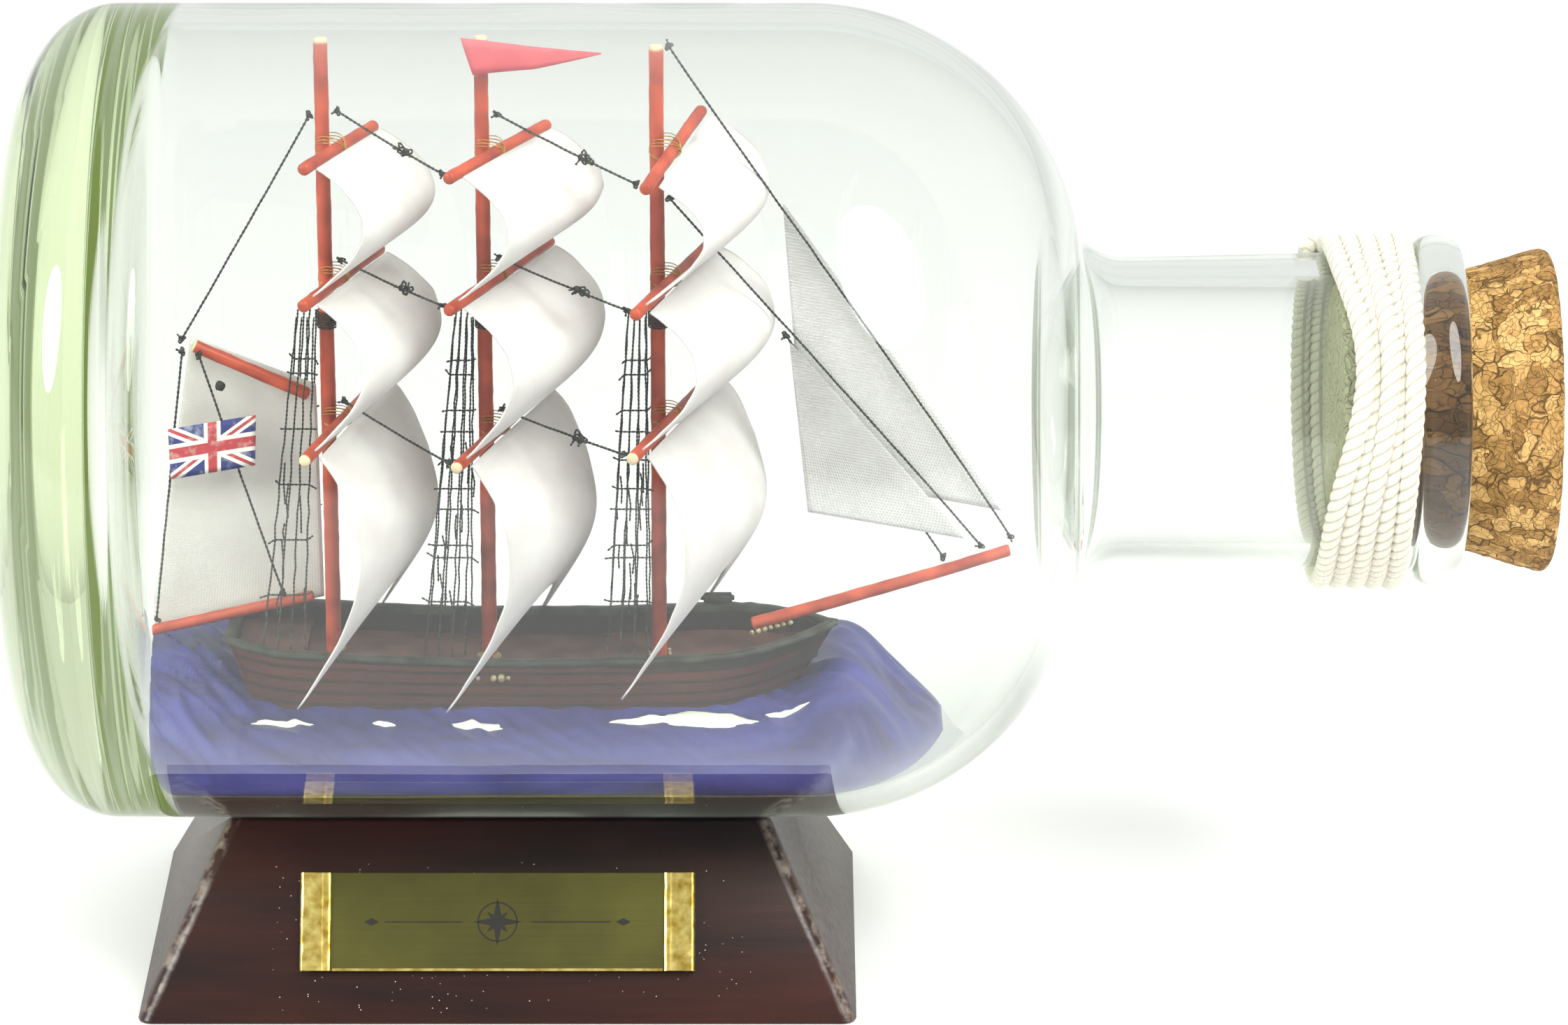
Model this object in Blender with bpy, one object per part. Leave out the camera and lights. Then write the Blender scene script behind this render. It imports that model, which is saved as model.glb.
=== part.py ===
"""Ship in a bottle: a square-rigged ship in a corked glass bottle, lying in a wooden cradle.

X runs along the bottle towards the neck, Y is the depth, Z is up. The origin is under the middle of
the whole object, on the surface that the stand rests on. The ship's heights are given from the
bottle's axis, because everything inside is laid out around it.
"""

import math

import bmesh
import bpy
from mathutils import Matrix, Vector

MM = 0.001
GAP = 0.3 * MM  # clearance between neighbouring pieces

# Stand: a block with sloping sides, hollowed on top for the bottle
STAND_LENGTH = 66.4 * MM
STAND_DEPTH = 42.0 * MM
STAND_CENTRE_X = -26.4 * MM
STAND_BLOCK_HEIGHT = 17.5 * MM
STAND_END_SLOPE = 0.50  # inward lean of the ends, per unit of height
STAND_FACE_SLOPE = 0.60  # inward lean of the front and back
STAND_EDGE_ROUND = 1.2 * MM
CRADLE_WEB = 14.8 * MM  # wood left under the bottle

# Nameplate on the stand's front
PLATE_LENGTH = 36.4 * MM
PLATE_WIDTH = 9.1 * MM
PLATE_THICKNESS = 0.4 * MM
PLATE_FOLD_WIDTH = 2.8 * MM  # each end is folded back over itself
PLATE_FOLD_THICKNESS = 0.3 * MM
PLATE_HEIGHT = 7.9 * MM  # of its middle above the table

# Bottle
BOTTLE_RADIUS = 37.5 * MM
BOTTLE_WALL = 1.8 * MM
BOTTLE_BASE_X = -70.5 * MM
BASE_THICKNESS = 9.0 * MM
BASE_CORNER_LENGTH = 9.5 * MM
BASE_FLAT_RADIUS = 24.0 * MM
CAVITY_CORNER = 6.0 * MM
SHOULDER_X = 2.0 * MM
SHOULDER_ROUND = 25.5 * MM
NECK_RADIUS = 14.1 * MM
NECK_FILLET = 4.5 * MM
NECK_FLARE = 0.6 * MM  # growth of the neck's radius towards the lip
LIP_START_X = 57.7 * MM
LIP_END_X = 62.1 * MM
LIP_RADIUS = 16.2 * MM
LIP_ROUND = 1.4 * MM
BOTTLE_AXIS_Z = CRADLE_WEB + GAP + BOTTLE_RADIUS
INNER_RADIUS = BOTTLE_RADIUS - BOTTLE_WALL
BOTTLE_SEGMENTS = 48

# Cork: a taper stopper
CORK_INNER_X = 50.5 * MM
CORK_END_X = 70.5 * MM
CORK_INNER_RADIUS = 12.1 * MM
CORK_MOUTH_RADIUS = 12.9 * MM
CORK_OUTER_RADIUS = 15.0 * MM
CORK_ROUND = 1.2 * MM

# Cord wound round the neck: the outer shape of its turns
CORD_THICKNESS = 2.0 * MM
CORD_START_X = 47.6 * MM

# Ship's lines
SHIP_Y = 3.5 * MM  # the ship sits a little behind the bottle's axis
STERN_X = -51.8 * MM
BOW_X = 4.8 * MM
STERN_RAKE = 2.2 * MM
BOW_RAKE = 3.8 * MM
HALF_BEAM = 7.1 * MM
TRANSOM_HALF = 4.6 * MM
RAIL_Z = -23.9 * MM  # top of the bulwark amidships
SHEER = 1.4 * MM
KEEL_Z = -30.4 * MM
WATERLINE_Z = -29.0 * MM
BULWARK = 0.8 * MM
BULWARK_HEIGHT = 2.2 * MM
DECK_THICKNESS = 0.5 * MM
STERN_TAPER = 6.0 * MM  # length over which the sides draw in
BOW_TAPER = 13.0 * MM
WATERLINE_SHARE = 0.94  # width at the waterline and at the bottom, of the width at the rail
BOTTOM_SHARE = 0.7
MAST_STEP_DEPTH = 1.6 * MM

# Sea
SEA_RIGHT_X = 15.4 * MM
SEA_LEFT_X = BOTTLE_BASE_X + BASE_THICKNESS + 0.7 * MM
HULL_BED_GAP = 1.5 * GAP
SEA_ROUND = 17.0 * MM  # length over which the sea narrows towards the neck
SEA_EDGE = 0.8 * MM  # least thickness at its end
STERN_SWELL = 3.4 * MM
STERN_SWELL_X = -58.0 * MM
BOW_SWELL = 4.0 * MM
BOW_SWELL_X = 6.0 * MM
RIPPLE = 0.35 * MM
RIPPLE_LENGTH = 4.6 * MM

# Spars
MAST_RADIUS = 0.72 * MM
YARD_RADIUS = 0.6 * MM
MASTS = {  # name: (x, height of the top)
    "mizzen": (-42.2 * MM, 34.2 * MM),
    "main": (-27.6 * MM, 34.4 * MM),
    "fore": (-11.65 * MM, 33.6 * MM),
}
YARDS = {  # mast and level: (height, half length, brace angle, cant angle)
    ("mizzen", "upper"): (24.3 * MM, 7.9 * MM, 21, 0),
    ("mizzen", "middle"): (11.9 * MM, 9.4 * MM, 19, 0),
    ("mizzen", "lower"): (-1.8 * MM, 12.6 * MM, 14, 0),
    ("main", "upper"): (24.0 * MM, 9.9 * MM, 25, 0),
    ("main", "middle"): (12.1 * MM, 11.4 * MM, 22, 0),
    ("main", "lower"): (-2.6 * MM, 12.4 * MM, 18, 0),
    ("fore", "upper"): (24.1 * MM, 9.6 * MM, 15, 7),
    ("fore", "middle"): (11.8 * MM, 11.6 * MM, 17, 0),
    ("fore", "lower"): (-1.6 * MM, 12.8 * MM, 17, 0),
}
LEVELS = ("upper", "middle", "lower")
YARD_STANDOFF = MAST_RADIUS + GAP + YARD_RADIUS

# Square sails: each hangs in front of its yard and bellies forward
SAIL_THICKNESS = 0.3 * MM
SAIL_STANDOFF = YARD_RADIUS + GAP + SAIL_THICKNESS / 2
SAIL_BELLY = {"upper": 4.8 * MM, "middle": 4.8 * MM, "lower": 4.8 * MM}  # of the side edges
SAIL_FOOT_BELLY = {"upper": 3.3 * MM, "middle": 3.7 * MM, "lower": 3.0 * MM}  # of the foot's middle
SAIL_FOOT_RISE = {"upper": 2.6 * MM, "middle": 2.8 * MM, "lower": 8.6 * MM}
SAIL_FOOT_LIFT = 1.1 * MM  # of the foot above the yard below
COURSE_CLEW_Z = {"mizzen": -26.6 * MM, "main": -26.9 * MM, "fore": -25.6 * MM}
COURSE_CLEW_HALF = 11.3 * MM
COURSE_CLEW_AFT = 2.6 * MM  # how far the lower corners trail behind the mast
SAIL_STEPS_ACROSS = 8
SAIL_STEPS_DOWN = 8

# Fore-and-aft canvas and spars, in the ship's middle plane, as (x, height)
GAFF_ENDS = ((-54.6 * MM, 5.1 * MM), (-44.0 * MM, 0.3 * MM))
BOOM_ENDS = ((-60.0 * MM, -23.4 * MM), (-44.0 * MM, -19.7 * MM))
GAFF_RADIUS = 0.6 * MM
BOOM_RADIUS = 0.52 * MM
SPANKER_SIDE = 1.2 * MM  # the cloth lies on the far side of its spars
SPANKER_CORNERS = (
    (-54.9 * MM, 5.6 * MM),
    (-43.4 * MM, 0.9 * MM),
    (-43.1 * MM, -20.2 * MM),
    (-59.6 * MM, -24.0 * MM),
)
BOWSPRIT_ENDS = ((-3.0 * MM, -22.6 * MM), (22.0 * MM, -15.2 * MM))
BOWSPRIT_RADIUS = 0.62 * MM
JIB_THICKNESS = 0.25 * MM
OUTER_JIB = ((-0.1 * MM, 18.6 * MM), (21.0 * MM, -11.4 * MM), (1.9 * MM, -7.8 * MM))
INNER_JIB = ((0.5 * MM, 5.5 * MM), (17.3 * MM, -13.8 * MM), (2.2 * MM, -11.1 * MM))

# Flags
FLAG_THICKNESS = 0.25 * MM
ENSIGN = (
    (-57.0 * MM, -2.6 * MM),
    (-48.8 * MM, -1.2 * MM),
    (-49.0 * MM, -6.1 * MM),
    (-56.9 * MM, -7.5 * MM),
)
PENNANT_HOIST = 3.2 * MM
PENNANT_AFT = 1.8 * MM
PENNANT_FLY = 11.0 * MM

# Rigging threads
THREAD_RADIUS = 0.13 * MM
INNER_STAY_TOP = 19.3 * MM
SHROUD_LINES = 4
RATLINES = 5
SHROUD_TOP_HALF = 0.8 * MM
SHROUD_FOOT_HALF = 1.9 * MM
SHROUD_TOP_Z = 8.2 * MM
SHROUD_TOP_AFT = 1.9 * MM
SHROUD_FOOT_AFT = {"mizzen": 4.2 * MM, "main": 3.9 * MM, "fore": 2.9 * MM}
BACKSTAY_HITCH = 27.2 * MM
HALYARD_FOOT = (-46.8 * MM, -19.0 * MM)
KNOT_SPACE = 0.6 * MM  # room left around a spar's end for a knot
INNER_STAY_FOOT = 0.88  # where each stay lands, as a share of the bowsprit's length
LOWER_STAY_FOOT = 0.73
STAY_FORK = 0.38  # where the lower stay leaves the inner one, as a share of that stay's length
BRACE_RISE = {"upper": 3.6 * MM, "middle": 1.9 * MM, "lower": 1.9 * MM}
BRACE_INSET = 1.2 * MM  # from the yard's end

# Cathead block on the far rail
CATHEAD_X = -6.3 * MM
CATHEAD_LENGTH = 3.2 * MM
CATHEAD_SIDE = 1.0 * MM


def clear_scene():
    for obj in list(bpy.data.objects):
        bpy.data.objects.remove(obj, do_unlink=True)


def make_material(name, colour, roughness, metallic=0.0, transmission=0.0):
    material = bpy.data.materials.new(name)
    material.use_nodes = True
    shader = material.node_tree.nodes["Principled BSDF"]
    shader.inputs["Base Color"].default_value = (*colour, 1.0)
    shader.inputs["Roughness"].default_value = roughness
    shader.inputs["Metallic"].default_value = metallic
    shader.inputs["Transmission Weight"].default_value = transmission
    return material


def link(name, data, material, origin=(0, 0, 0)):
    """An object whose mesh is given in world coordinates and whose origin sits at `origin`."""
    obj = bpy.data.objects.new(name, data)
    data.materials.append(material)
    if obj.type == "MESH":
        data.transform(Matrix.Translation(-Vector(origin)))
        data.shade_smooth()
        data.set_sharp_from_angle(angle=math.radians(35))
    obj.location = origin
    bpy.context.scene.collection.objects.link(obj)
    return obj


def from_bmesh(name, bm, material, origin=(0, 0, 0)):
    bmesh.ops.recalc_face_normals(bm, faces=bm.faces)
    mesh = bpy.data.meshes.new(name)
    bm.to_mesh(mesh)
    bm.free()
    return link(name, mesh, material, origin)


def cut(obj, cutter):
    cutter.hide_render = True
    cutter.display_type = "WIRE"
    modifier = obj.modifiers.new("cut_" + cutter.name, "BOOLEAN")
    modifier.operation = "DIFFERENCE"
    modifier.object = cutter


def inside(x, y, height):
    """A point of the ship, from its height above the bottle's axis."""
    return Vector((x, y, BOTTLE_AXIS_Z + height))


def midship(point):
    return inside(point[0], SHIP_Y, point[1])


def turned(name, profile, material, origin_x=0.0):
    """A solid turned about the bottle's axis from (x, radius) points; a radius of 0 closes an end."""
    bm = bmesh.new()
    rings = []
    for x, radius in profile:
        if radius == 0:
            rings.append([bm.verts.new((x, 0, BOTTLE_AXIS_Z))])
            continue
        ring = []
        for i in range(BOTTLE_SEGMENTS):
            angle = 2 * math.pi * i / BOTTLE_SEGMENTS
            ring.append(bm.verts.new((x, radius * math.cos(angle), BOTTLE_AXIS_Z + radius * math.sin(angle))))
        rings.append(ring)
    pairs = list(zip(rings, rings[1:]))
    if len(rings[0]) > 1:
        pairs.append((rings[-1], rings[0]))
    for one, other in pairs:
        for i in range(BOTTLE_SEGMENTS):
            j = (i + 1) % BOTTLE_SEGMENTS
            corners = [one[i % len(one)], one[j % len(one)], other[j % len(other)], other[i % len(other)]]
            bm.faces.new(list(dict.fromkeys(corners)))
    return from_bmesh(name, bm, material, (origin_x, 0, BOTTLE_AXIS_Z))


def arc(centre, radii, start, end, steps):
    """Points (x, r) on an ellipse, with both ends, for angles in degrees."""
    points = []
    for i in range(steps + 1):
        angle = math.radians(start + (end - start) * i / steps)
        points.append((centre[0] + radii[0] * math.cos(angle), centre[1] + radii[1] * math.sin(angle)))
    return points


def rod(name, start, end, radius, material, end_radius=None, sides=10):
    """A round spar between two points, with its origin at the first."""
    start = Vector(start)
    along = Vector(end) - start
    bm = bmesh.new()
    bmesh.ops.create_cone(
        bm, cap_ends=True, segments=sides, radius1=radius, radius2=end_radius or radius, depth=along.length
    )
    turn = along.to_track_quat("Z", "Y").to_matrix().to_4x4()
    bmesh.ops.transform(bm, matrix=Matrix.Translation(start + along / 2) @ turn, verts=bm.verts)
    return from_bmesh(name, bm, material, start)


def thread(name, points, material):
    curve = bpy.data.curves.new(name, "CURVE")
    curve.dimensions = "3D"
    curve.bevel_depth = THREAD_RADIUS
    curve.bevel_resolution = 1
    curve.use_fill_caps = True
    spline = curve.splines.new("POLY")
    spline.points.add(len(points) - 1)
    for slot, point in zip(spline.points, points):
        slot.co = (*point, 1.0)
    return link(name, curve, material)


def cloth(name, rows, thickness, material, origin):
    """A thin solid from a grid of points, with its thickness halved to both sides."""
    bm = bmesh.new()
    grid = [[bm.verts.new(point) for point in row] for row in rows]
    for above, below in zip(grid, grid[1:]):
        for i in range(len(above) - 1):
            bm.faces.new((above[i], above[i + 1], below[i + 1], below[i]))
    obj = from_bmesh(name, bm, material, origin)
    modifier = obj.modifiers.new("thickness", "SOLIDIFY")
    modifier.thickness = thickness
    modifier.offset = 0.0
    return obj


def plate_solid(name, outline, thickness, material):
    """A flat piece standing in an XZ plane: `outline` is its middle face, thickened along Y."""
    bm = bmesh.new()
    face = bm.faces.new([bm.verts.new(point - Vector((0, thickness / 2, 0))) for point in outline])
    moved = bmesh.ops.extrude_face_region(bm, geom=[face])["geom"]
    verts = [item for item in moved if isinstance(item, bmesh.types.BMVert)]
    bmesh.ops.translate(bm, verts=verts, vec=(0, thickness, 0))
    return from_bmesh(name, bm, material, outline[0])


def neck_radius_at(x):
    """The neck's outer radius, which grows evenly from the shoulder to the lip."""
    start = fillet_centre_x()
    return NECK_RADIUS + NECK_FLARE * (x - start) / (LIP_START_X - start)


def fillet_centre_x():
    """Where the hollow between shoulder and neck has its centre."""
    rise = NECK_RADIUS + NECK_FILLET - (BOTTLE_RADIUS - SHOULDER_ROUND)
    return SHOULDER_X + math.sqrt((SHOULDER_ROUND + NECK_FILLET) ** 2 - rise**2)


def shoulder_profile(offset, steps):
    """Shoulder and hollow as (x, r), moved inwards by `offset`, from the body to the neck."""
    shoulder_r = BOTTLE_RADIUS - SHOULDER_ROUND
    fillet_r = NECK_RADIUS + NECK_FILLET
    fillet_x = fillet_centre_x()
    meet = math.degrees(math.atan2(fillet_r - shoulder_r, fillet_x - SHOULDER_X))
    outer = SHOULDER_ROUND - offset
    hollow = NECK_FILLET + offset
    points = arc((SHOULDER_X, shoulder_r), (outer, outer), 90, meet, steps)
    points += arc((fillet_x, fillet_r), (hollow, hollow), 180 + meet, 270, 4)[1:]
    return points


def build_bottle(glass):
    corner = (BOTTLE_BASE_X + BASE_CORNER_LENGTH, BASE_FLAT_RADIUS)
    outside = [(BOTTLE_BASE_X, 0)]
    outside += arc(corner, (BASE_CORNER_LENGTH, BOTTLE_RADIUS - BASE_FLAT_RADIUS), 180, 90, 6)
    outside += shoulder_profile(0, 10)
    outside.append((LIP_START_X, neck_radius_at(LIP_START_X)))
    lip_middle = ((LIP_START_X + LIP_END_X) / 2, LIP_RADIUS - LIP_ROUND)
    outside += arc(lip_middle, ((LIP_END_X - LIP_START_X) / 2, LIP_ROUND), 165, 0, 5)
    inside_wall = [
        (LIP_END_X - 0.4 * MM, CORK_MOUTH_RADIUS + GAP),
        (CORK_INNER_X, CORK_INNER_RADIUS + GAP),
    ]
    inside_wall += shoulder_profile(BOTTLE_WALL, 8)[::-1]
    floor_x = BOTTLE_BASE_X + BASE_THICKNESS
    cavity_corner = (floor_x + CAVITY_CORNER, INNER_RADIUS - CAVITY_CORNER)
    inside_wall += arc(cavity_corner, (CAVITY_CORNER, CAVITY_CORNER), 90, 180, 4)
    inside_wall.append((floor_x, 0))
    return turned("glass_bottle", outside + inside_wall, glass)


def build_cork(cork):
    taper_end = CORK_END_X - CORK_ROUND
    profile = [
        (CORK_INNER_X + 0.2 * MM, 0),
        (CORK_INNER_X + 0.2 * MM, CORK_INNER_RADIUS - 0.5 * MM),
        (CORK_INNER_X + 0.7 * MM, CORK_INNER_RADIUS),
        (LIP_END_X, CORK_MOUTH_RADIUS),
    ]
    profile += arc((taper_end, CORK_OUTER_RADIUS - CORK_ROUND), (CORK_ROUND, CORK_ROUND), 90, 0, 3)
    profile.append((CORK_END_X, 0))
    return turned("cork_stopper", profile, cork, CORK_INNER_X)


def build_neck_cord(cotton):
    end_x = LIP_START_X - GAP
    half = (end_x - CORD_START_X) / 2
    crown = (CORD_START_X + half, neck_radius_at(end_x) + GAP)
    profile = [(CORD_START_X, neck_radius_at(CORD_START_X) + GAP)]
    profile += arc(crown, (half, CORD_THICKNESS), 165, 15, 6)
    profile.append((end_x, neck_radius_at(end_x) + GAP))
    return turned("neck_cord", profile, cotton)


def build_stand(wood):
    bm = bmesh.new()
    rings = []
    for height in (0.0, STAND_BLOCK_HEIGHT):
        half_x = STAND_LENGTH / 2 - STAND_END_SLOPE * height
        half_y = STAND_DEPTH / 2 - STAND_FACE_SLOPE * height
        corners = ((-half_x, -half_y), (half_x, -half_y), (half_x, half_y), (-half_x, half_y))
        rings.append([bm.verts.new((STAND_CENTRE_X + x, y, height)) for x, y in corners])
    bm.faces.new(rings[0][::-1])
    bm.faces.new(rings[1])
    for i in range(4):
        j = (i + 1) % 4
        bm.faces.new((rings[0][i], rings[0][j], rings[1][j], rings[1][i]))
    slanted = [edge for edge in bm.edges if edge.verts[0].co.z != edge.verts[1].co.z]
    bmesh.ops.bevel(bm, geom=slanted, offset=STAND_EDGE_ROUND, segments=3, profile=0.5, affect="EDGES")
    stand = from_bmesh("stand_block", bm, wood)
    reach = STAND_LENGTH
    ends = [Vector((STAND_CENTRE_X + side * reach, 0, BOTTLE_AXIS_Z)) for side in (-1, 1)]
    cut(stand, rod("cradle_cutter", *ends, BOTTLE_RADIUS + GAP, wood, sides=BOTTLE_SEGMENTS * 2))
    return stand


def build_nameplate(brass):
    """A brass strip whose two ends are folded over the front; it lies on the sloping face."""
    lean = math.atan(STAND_FACE_SLOPE)
    front = -STAND_DEPTH / 2 + STAND_FACE_SLOPE * PLATE_HEIGHT
    half = PLATE_LENGTH / 2
    top = PLATE_THICKNESS
    fold = PLATE_THICKNESS + PLATE_FOLD_THICKNESS
    inner = half - PLATE_FOLD_WIDTH
    section = [(-half, 0), (half, 0), (half, fold), (inner, fold), (inner, top)]
    section += [(-inner, top), (-inner, fold), (-half, fold)]
    bm = bmesh.new()
    face = bm.faces.new([bm.verts.new((x, -(depth + GAP), -PLATE_WIDTH / 2)) for x, depth in section])
    moved = bmesh.ops.extrude_face_region(bm, geom=[face])["geom"]
    verts = [item for item in moved if isinstance(item, bmesh.types.BMVert)]
    bmesh.ops.translate(bm, verts=verts, vec=(0, 0, PLATE_WIDTH))
    place = Matrix.Translation((STAND_CENTRE_X, front, PLATE_HEIGHT)) @ Matrix.Rotation(-lean, 4, "X")
    bmesh.ops.transform(bm, matrix=place, verts=bm.verts)
    return from_bmesh("nameplate", bm, brass, (STAND_CENTRE_X, front, PLATE_HEIGHT))


def hull_half(x):
    """Half the ship's width at the rail."""
    if x < STERN_X + STERN_TAPER:
        t = (STERN_X + STERN_TAPER - x) / STERN_TAPER
        return HALF_BEAM - (HALF_BEAM - TRANSOM_HALF) * t * t
    if x > BOW_X - BOW_TAPER:
        t = (x - BOW_X + BOW_TAPER) / BOW_TAPER
        return max(HALF_BEAM * (1 - t**2.2), 0.3 * MM)
    return HALF_BEAM


def rail_height(x):
    middle = (STERN_X + BOW_X) / 2
    return RAIL_Z + SHEER * ((x - middle) / (STERN_X - middle)) ** 2


def hull_stations():
    ends = (STERN_X, BOW_X)
    fractions = (0, 0.03, 0.07, 0.12, 0.3, 0.55, 0.77, 0.83, 0.88, 0.93, 0.97, 1.0)
    return [ends[0] + (ends[1] - ends[0]) * f for f in fractions]


def build_hull_shape(name, material, grow=0.0):
    """The hull as stations joined by faces; `grow` swells it on every side for its bed in the sea."""
    bm = bmesh.new()
    rings = []
    for x in hull_stations():
        along = (x - STERN_X) / (BOW_X - STERN_X)
        low_x = x + STERN_RAKE * (1 - along) - BOW_RAKE * along
        stretch = grow * (2 * along - 1)
        half = hull_half(x)
        top = rail_height(x) + grow
        low = WATERLINE_Z
        section = (
            (x, half + grow, top),
            (low_x, half * WATERLINE_SHARE + grow, low),
            (low_x, half * BOTTOM_SHARE + grow, KEEL_Z - grow),
        )
        ring = [inside(px + stretch, SHIP_Y + py, pz) for px, py, pz in section]
        ring += [inside(px + stretch, SHIP_Y - py, pz) for px, py, pz in section[::-1]]
        rings.append([bm.verts.new(point) for point in ring])
    for one, other in zip(rings, rings[1:]):
        for i in range(len(one)):
            j = (i + 1) % len(one)
            bm.faces.new((one[i], one[j], other[j], other[i]))
    bm.faces.new(rings[0])
    bm.faces.new(rings[-1][::-1])
    return from_bmesh(name, bm, material, inside(STERN_X, SHIP_Y, WATERLINE_Z))


def deck_shape(name, material, inset, drop, thickness):
    """A slab between the bulwarks, its top `drop` under the rail and its edge `inset` from their outside."""
    bm = bmesh.new()
    rings = []
    stations = [x for x in hull_stations() if hull_half(x) > inset + 0.6 * MM]
    for x in stations:
        x = min(max(x, STERN_X + inset), BOW_X - inset)
        half = hull_half(x) - inset
        top = rail_height(x) - drop
        corners = ((half, top), (-half, top), (-half, top - thickness), (half, top - thickness))
        rings.append([bm.verts.new(inside(x, SHIP_Y + y, z)) for y, z in corners])
    for one, other in zip(rings, rings[1:]):
        for i in range(4):
            j = (i + 1) % 4
            bm.faces.new((one[i], one[j], other[j], other[i]))
    bm.faces.new(rings[0])
    bm.faces.new(rings[-1][::-1])
    return from_bmesh(name, bm, material)


def mast_hole(name, x, material):
    deck = rail_height(x) - BULWARK_HEIGHT
    low = inside(x, SHIP_Y, deck - MAST_STEP_DEPTH)
    return rod("hole_" + name, low, inside(x, SHIP_Y, deck + 1 * MM), MAST_RADIUS + GAP, material, sides=16)


def build_hull(paint, deck_paint):
    hull = build_hull_shape("hull", paint)
    well = deck_shape("well_cutter", paint, BULWARK, -1 * MM, BULWARK_HEIGHT + DECK_THICKNESS + GAP + 1 * MM)
    cut(hull, well)
    deck = deck_shape("deck", deck_paint, BULWARK + GAP, BULWARK_HEIGHT, DECK_THICKNESS)
    for name, (x, _) in MASTS.items():
        hole = mast_hole(name, x, paint)
        cut(hull, hole)
        cut(deck, hole)


def cavity_radius(x):
    """The radius of the bottle's inside at a place along it, from its floor to its shoulder."""
    floor_x = BOTTLE_BASE_X + BASE_THICKNESS
    if x < floor_x + CAVITY_CORNER:
        reach = floor_x + CAVITY_CORNER - x
        return INNER_RADIUS - CAVITY_CORNER + math.sqrt(CAVITY_CORNER**2 - reach**2)
    if x > SHOULDER_X:
        inner_round = SHOULDER_ROUND - BOTTLE_WALL
        return BOTTLE_RADIUS - SHOULDER_ROUND + math.sqrt(inner_round**2 - (x - SHOULDER_X) ** 2)
    return INNER_RADIUS


def sea_wall(x):
    """The radius of the water's underside, a gap inside the glass measured square to it."""
    return min(cavity_radius(x - 2 * GAP), cavity_radius(x), cavity_radius(x + 2 * GAP)) - 1.6 * GAP


def sea_width(x):
    """Half the width of the sea's top, which is rounded towards the neck."""
    full = math.sqrt(max(sea_wall(x) ** 2 - WATERLINE_Z**2, (5 * MM) ** 2))
    if x > SEA_RIGHT_X - SEA_ROUND:
        t = (x - SEA_RIGHT_X + SEA_ROUND) / SEA_ROUND
        return full * math.sqrt(max(1 - 0.93 * t**2.4, 0.05))
    return full


def sea_height(x):
    """Height of the water along its middle: it climbs behind the stern and ahead of the bow."""
    ripple = RIPPLE * math.sin(x / RIPPLE_LENGTH)
    stern = STERN_SWELL * math.exp(-(((x - STERN_SWELL_X) / (6.0 * MM)) ** 2))
    bow = BOW_SWELL * math.exp(-(((x - BOW_SWELL_X) / (4.5 * MM)) ** 2))
    return WATERLINE_Z + ripple + stern + bow


def build_sea(putty):
    bm = bmesh.new()
    rings = []
    steps = 28
    across = 10
    for i in range(steps + 1):
        x = SEA_LEFT_X + (SEA_RIGHT_X - SEA_LEFT_X) * (i / steps)
        wall = sea_wall(x)
        half = sea_width(x)
        edge = -math.sqrt(wall**2 - half**2)
        crown = max(sea_height(x), edge + SEA_EDGE)
        if i == steps:
            crown = edge + SEA_EDGE
        ring = []
        for k in range(across + 1):
            y = half * (2 * k / across - 1)
            ring.append((y, edge + (crown - edge) * (1 - (y / half) ** 4)))
        reach = math.asin(half / wall)
        for k in range(across - 1):
            angle = reach * (1 - 2 * (k + 1) / across)
            ring.append((wall * math.sin(angle), -wall * math.cos(angle)))
        rings.append([bm.verts.new(inside(x, y, z)) for y, z in ring])
    for one, other in zip(rings, rings[1:]):
        for i in range(len(one)):
            j = (i + 1) % len(one)
            bm.faces.new((one[i], one[j], other[j], other[i]))
    bm.faces.new(rings[0])
    bm.faces.new(rings[-1][::-1])
    sea = from_bmesh("sea", bm, putty)
    cut(sea, build_hull_shape("hull_bed_cutter", putty, HULL_BED_GAP))
    return sea


def yard_frame(mast, level):
    """Middle, direction and forward normal of a yard."""
    height, half, brace, cant = YARDS[mast, level]
    brace = math.radians(brace)
    cant = math.radians(cant)
    forward = Vector((math.cos(brace), -math.sin(brace), 0))
    along = Vector((math.sin(brace) * math.cos(cant), math.cos(brace) * math.cos(cant), math.sin(cant)))
    middle = inside(MASTS[mast][0], SHIP_Y, height) + forward * YARD_STANDOFF
    return middle, along, forward, half


def build_masts(paint):
    for name, (x, top) in MASTS.items():
        foot = inside(x, SHIP_Y, rail_height(x) - BULWARK_HEIGHT - MAST_STEP_DEPTH + GAP)
        rod(name + "_mast", foot, inside(x, SHIP_Y, top), MAST_RADIUS, paint, MAST_RADIUS * 0.9)


def build_yards(paint):
    for mast, level in YARDS:
        middle, along, _, half = yard_frame(mast, level)
        reach = along * half
        yard = rod(f"{mast}_{level}_yard", middle - reach, middle + reach, YARD_RADIUS, paint, sides=8)
        yard.data.transform(Matrix.Translation(-reach))
        yard.location = middle


def sail_corners(mast, level):
    """The sail's head and foot as (middle, direction, half width) and its forward normal."""
    middle, along, forward, half = yard_frame(mast, level)
    head = (middle + forward * SAIL_STANDOFF, along, half * 0.9)
    if level == "lower":
        clew = inside(MASTS[mast][0], SHIP_Y, COURSE_CLEW_Z[mast])
        foot = (clew + forward * (YARD_STANDOFF + SAIL_STANDOFF), along, COURSE_CLEW_HALF)
    else:
        below = LEVELS[LEVELS.index(level) + 1]
        middle, along, normal, half = yard_frame(mast, below)
        lift = Vector((0, 0, SAIL_FOOT_LIFT))
        foot = (middle + normal * SAIL_STANDOFF + lift, along, half)
    return head, foot, forward


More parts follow.
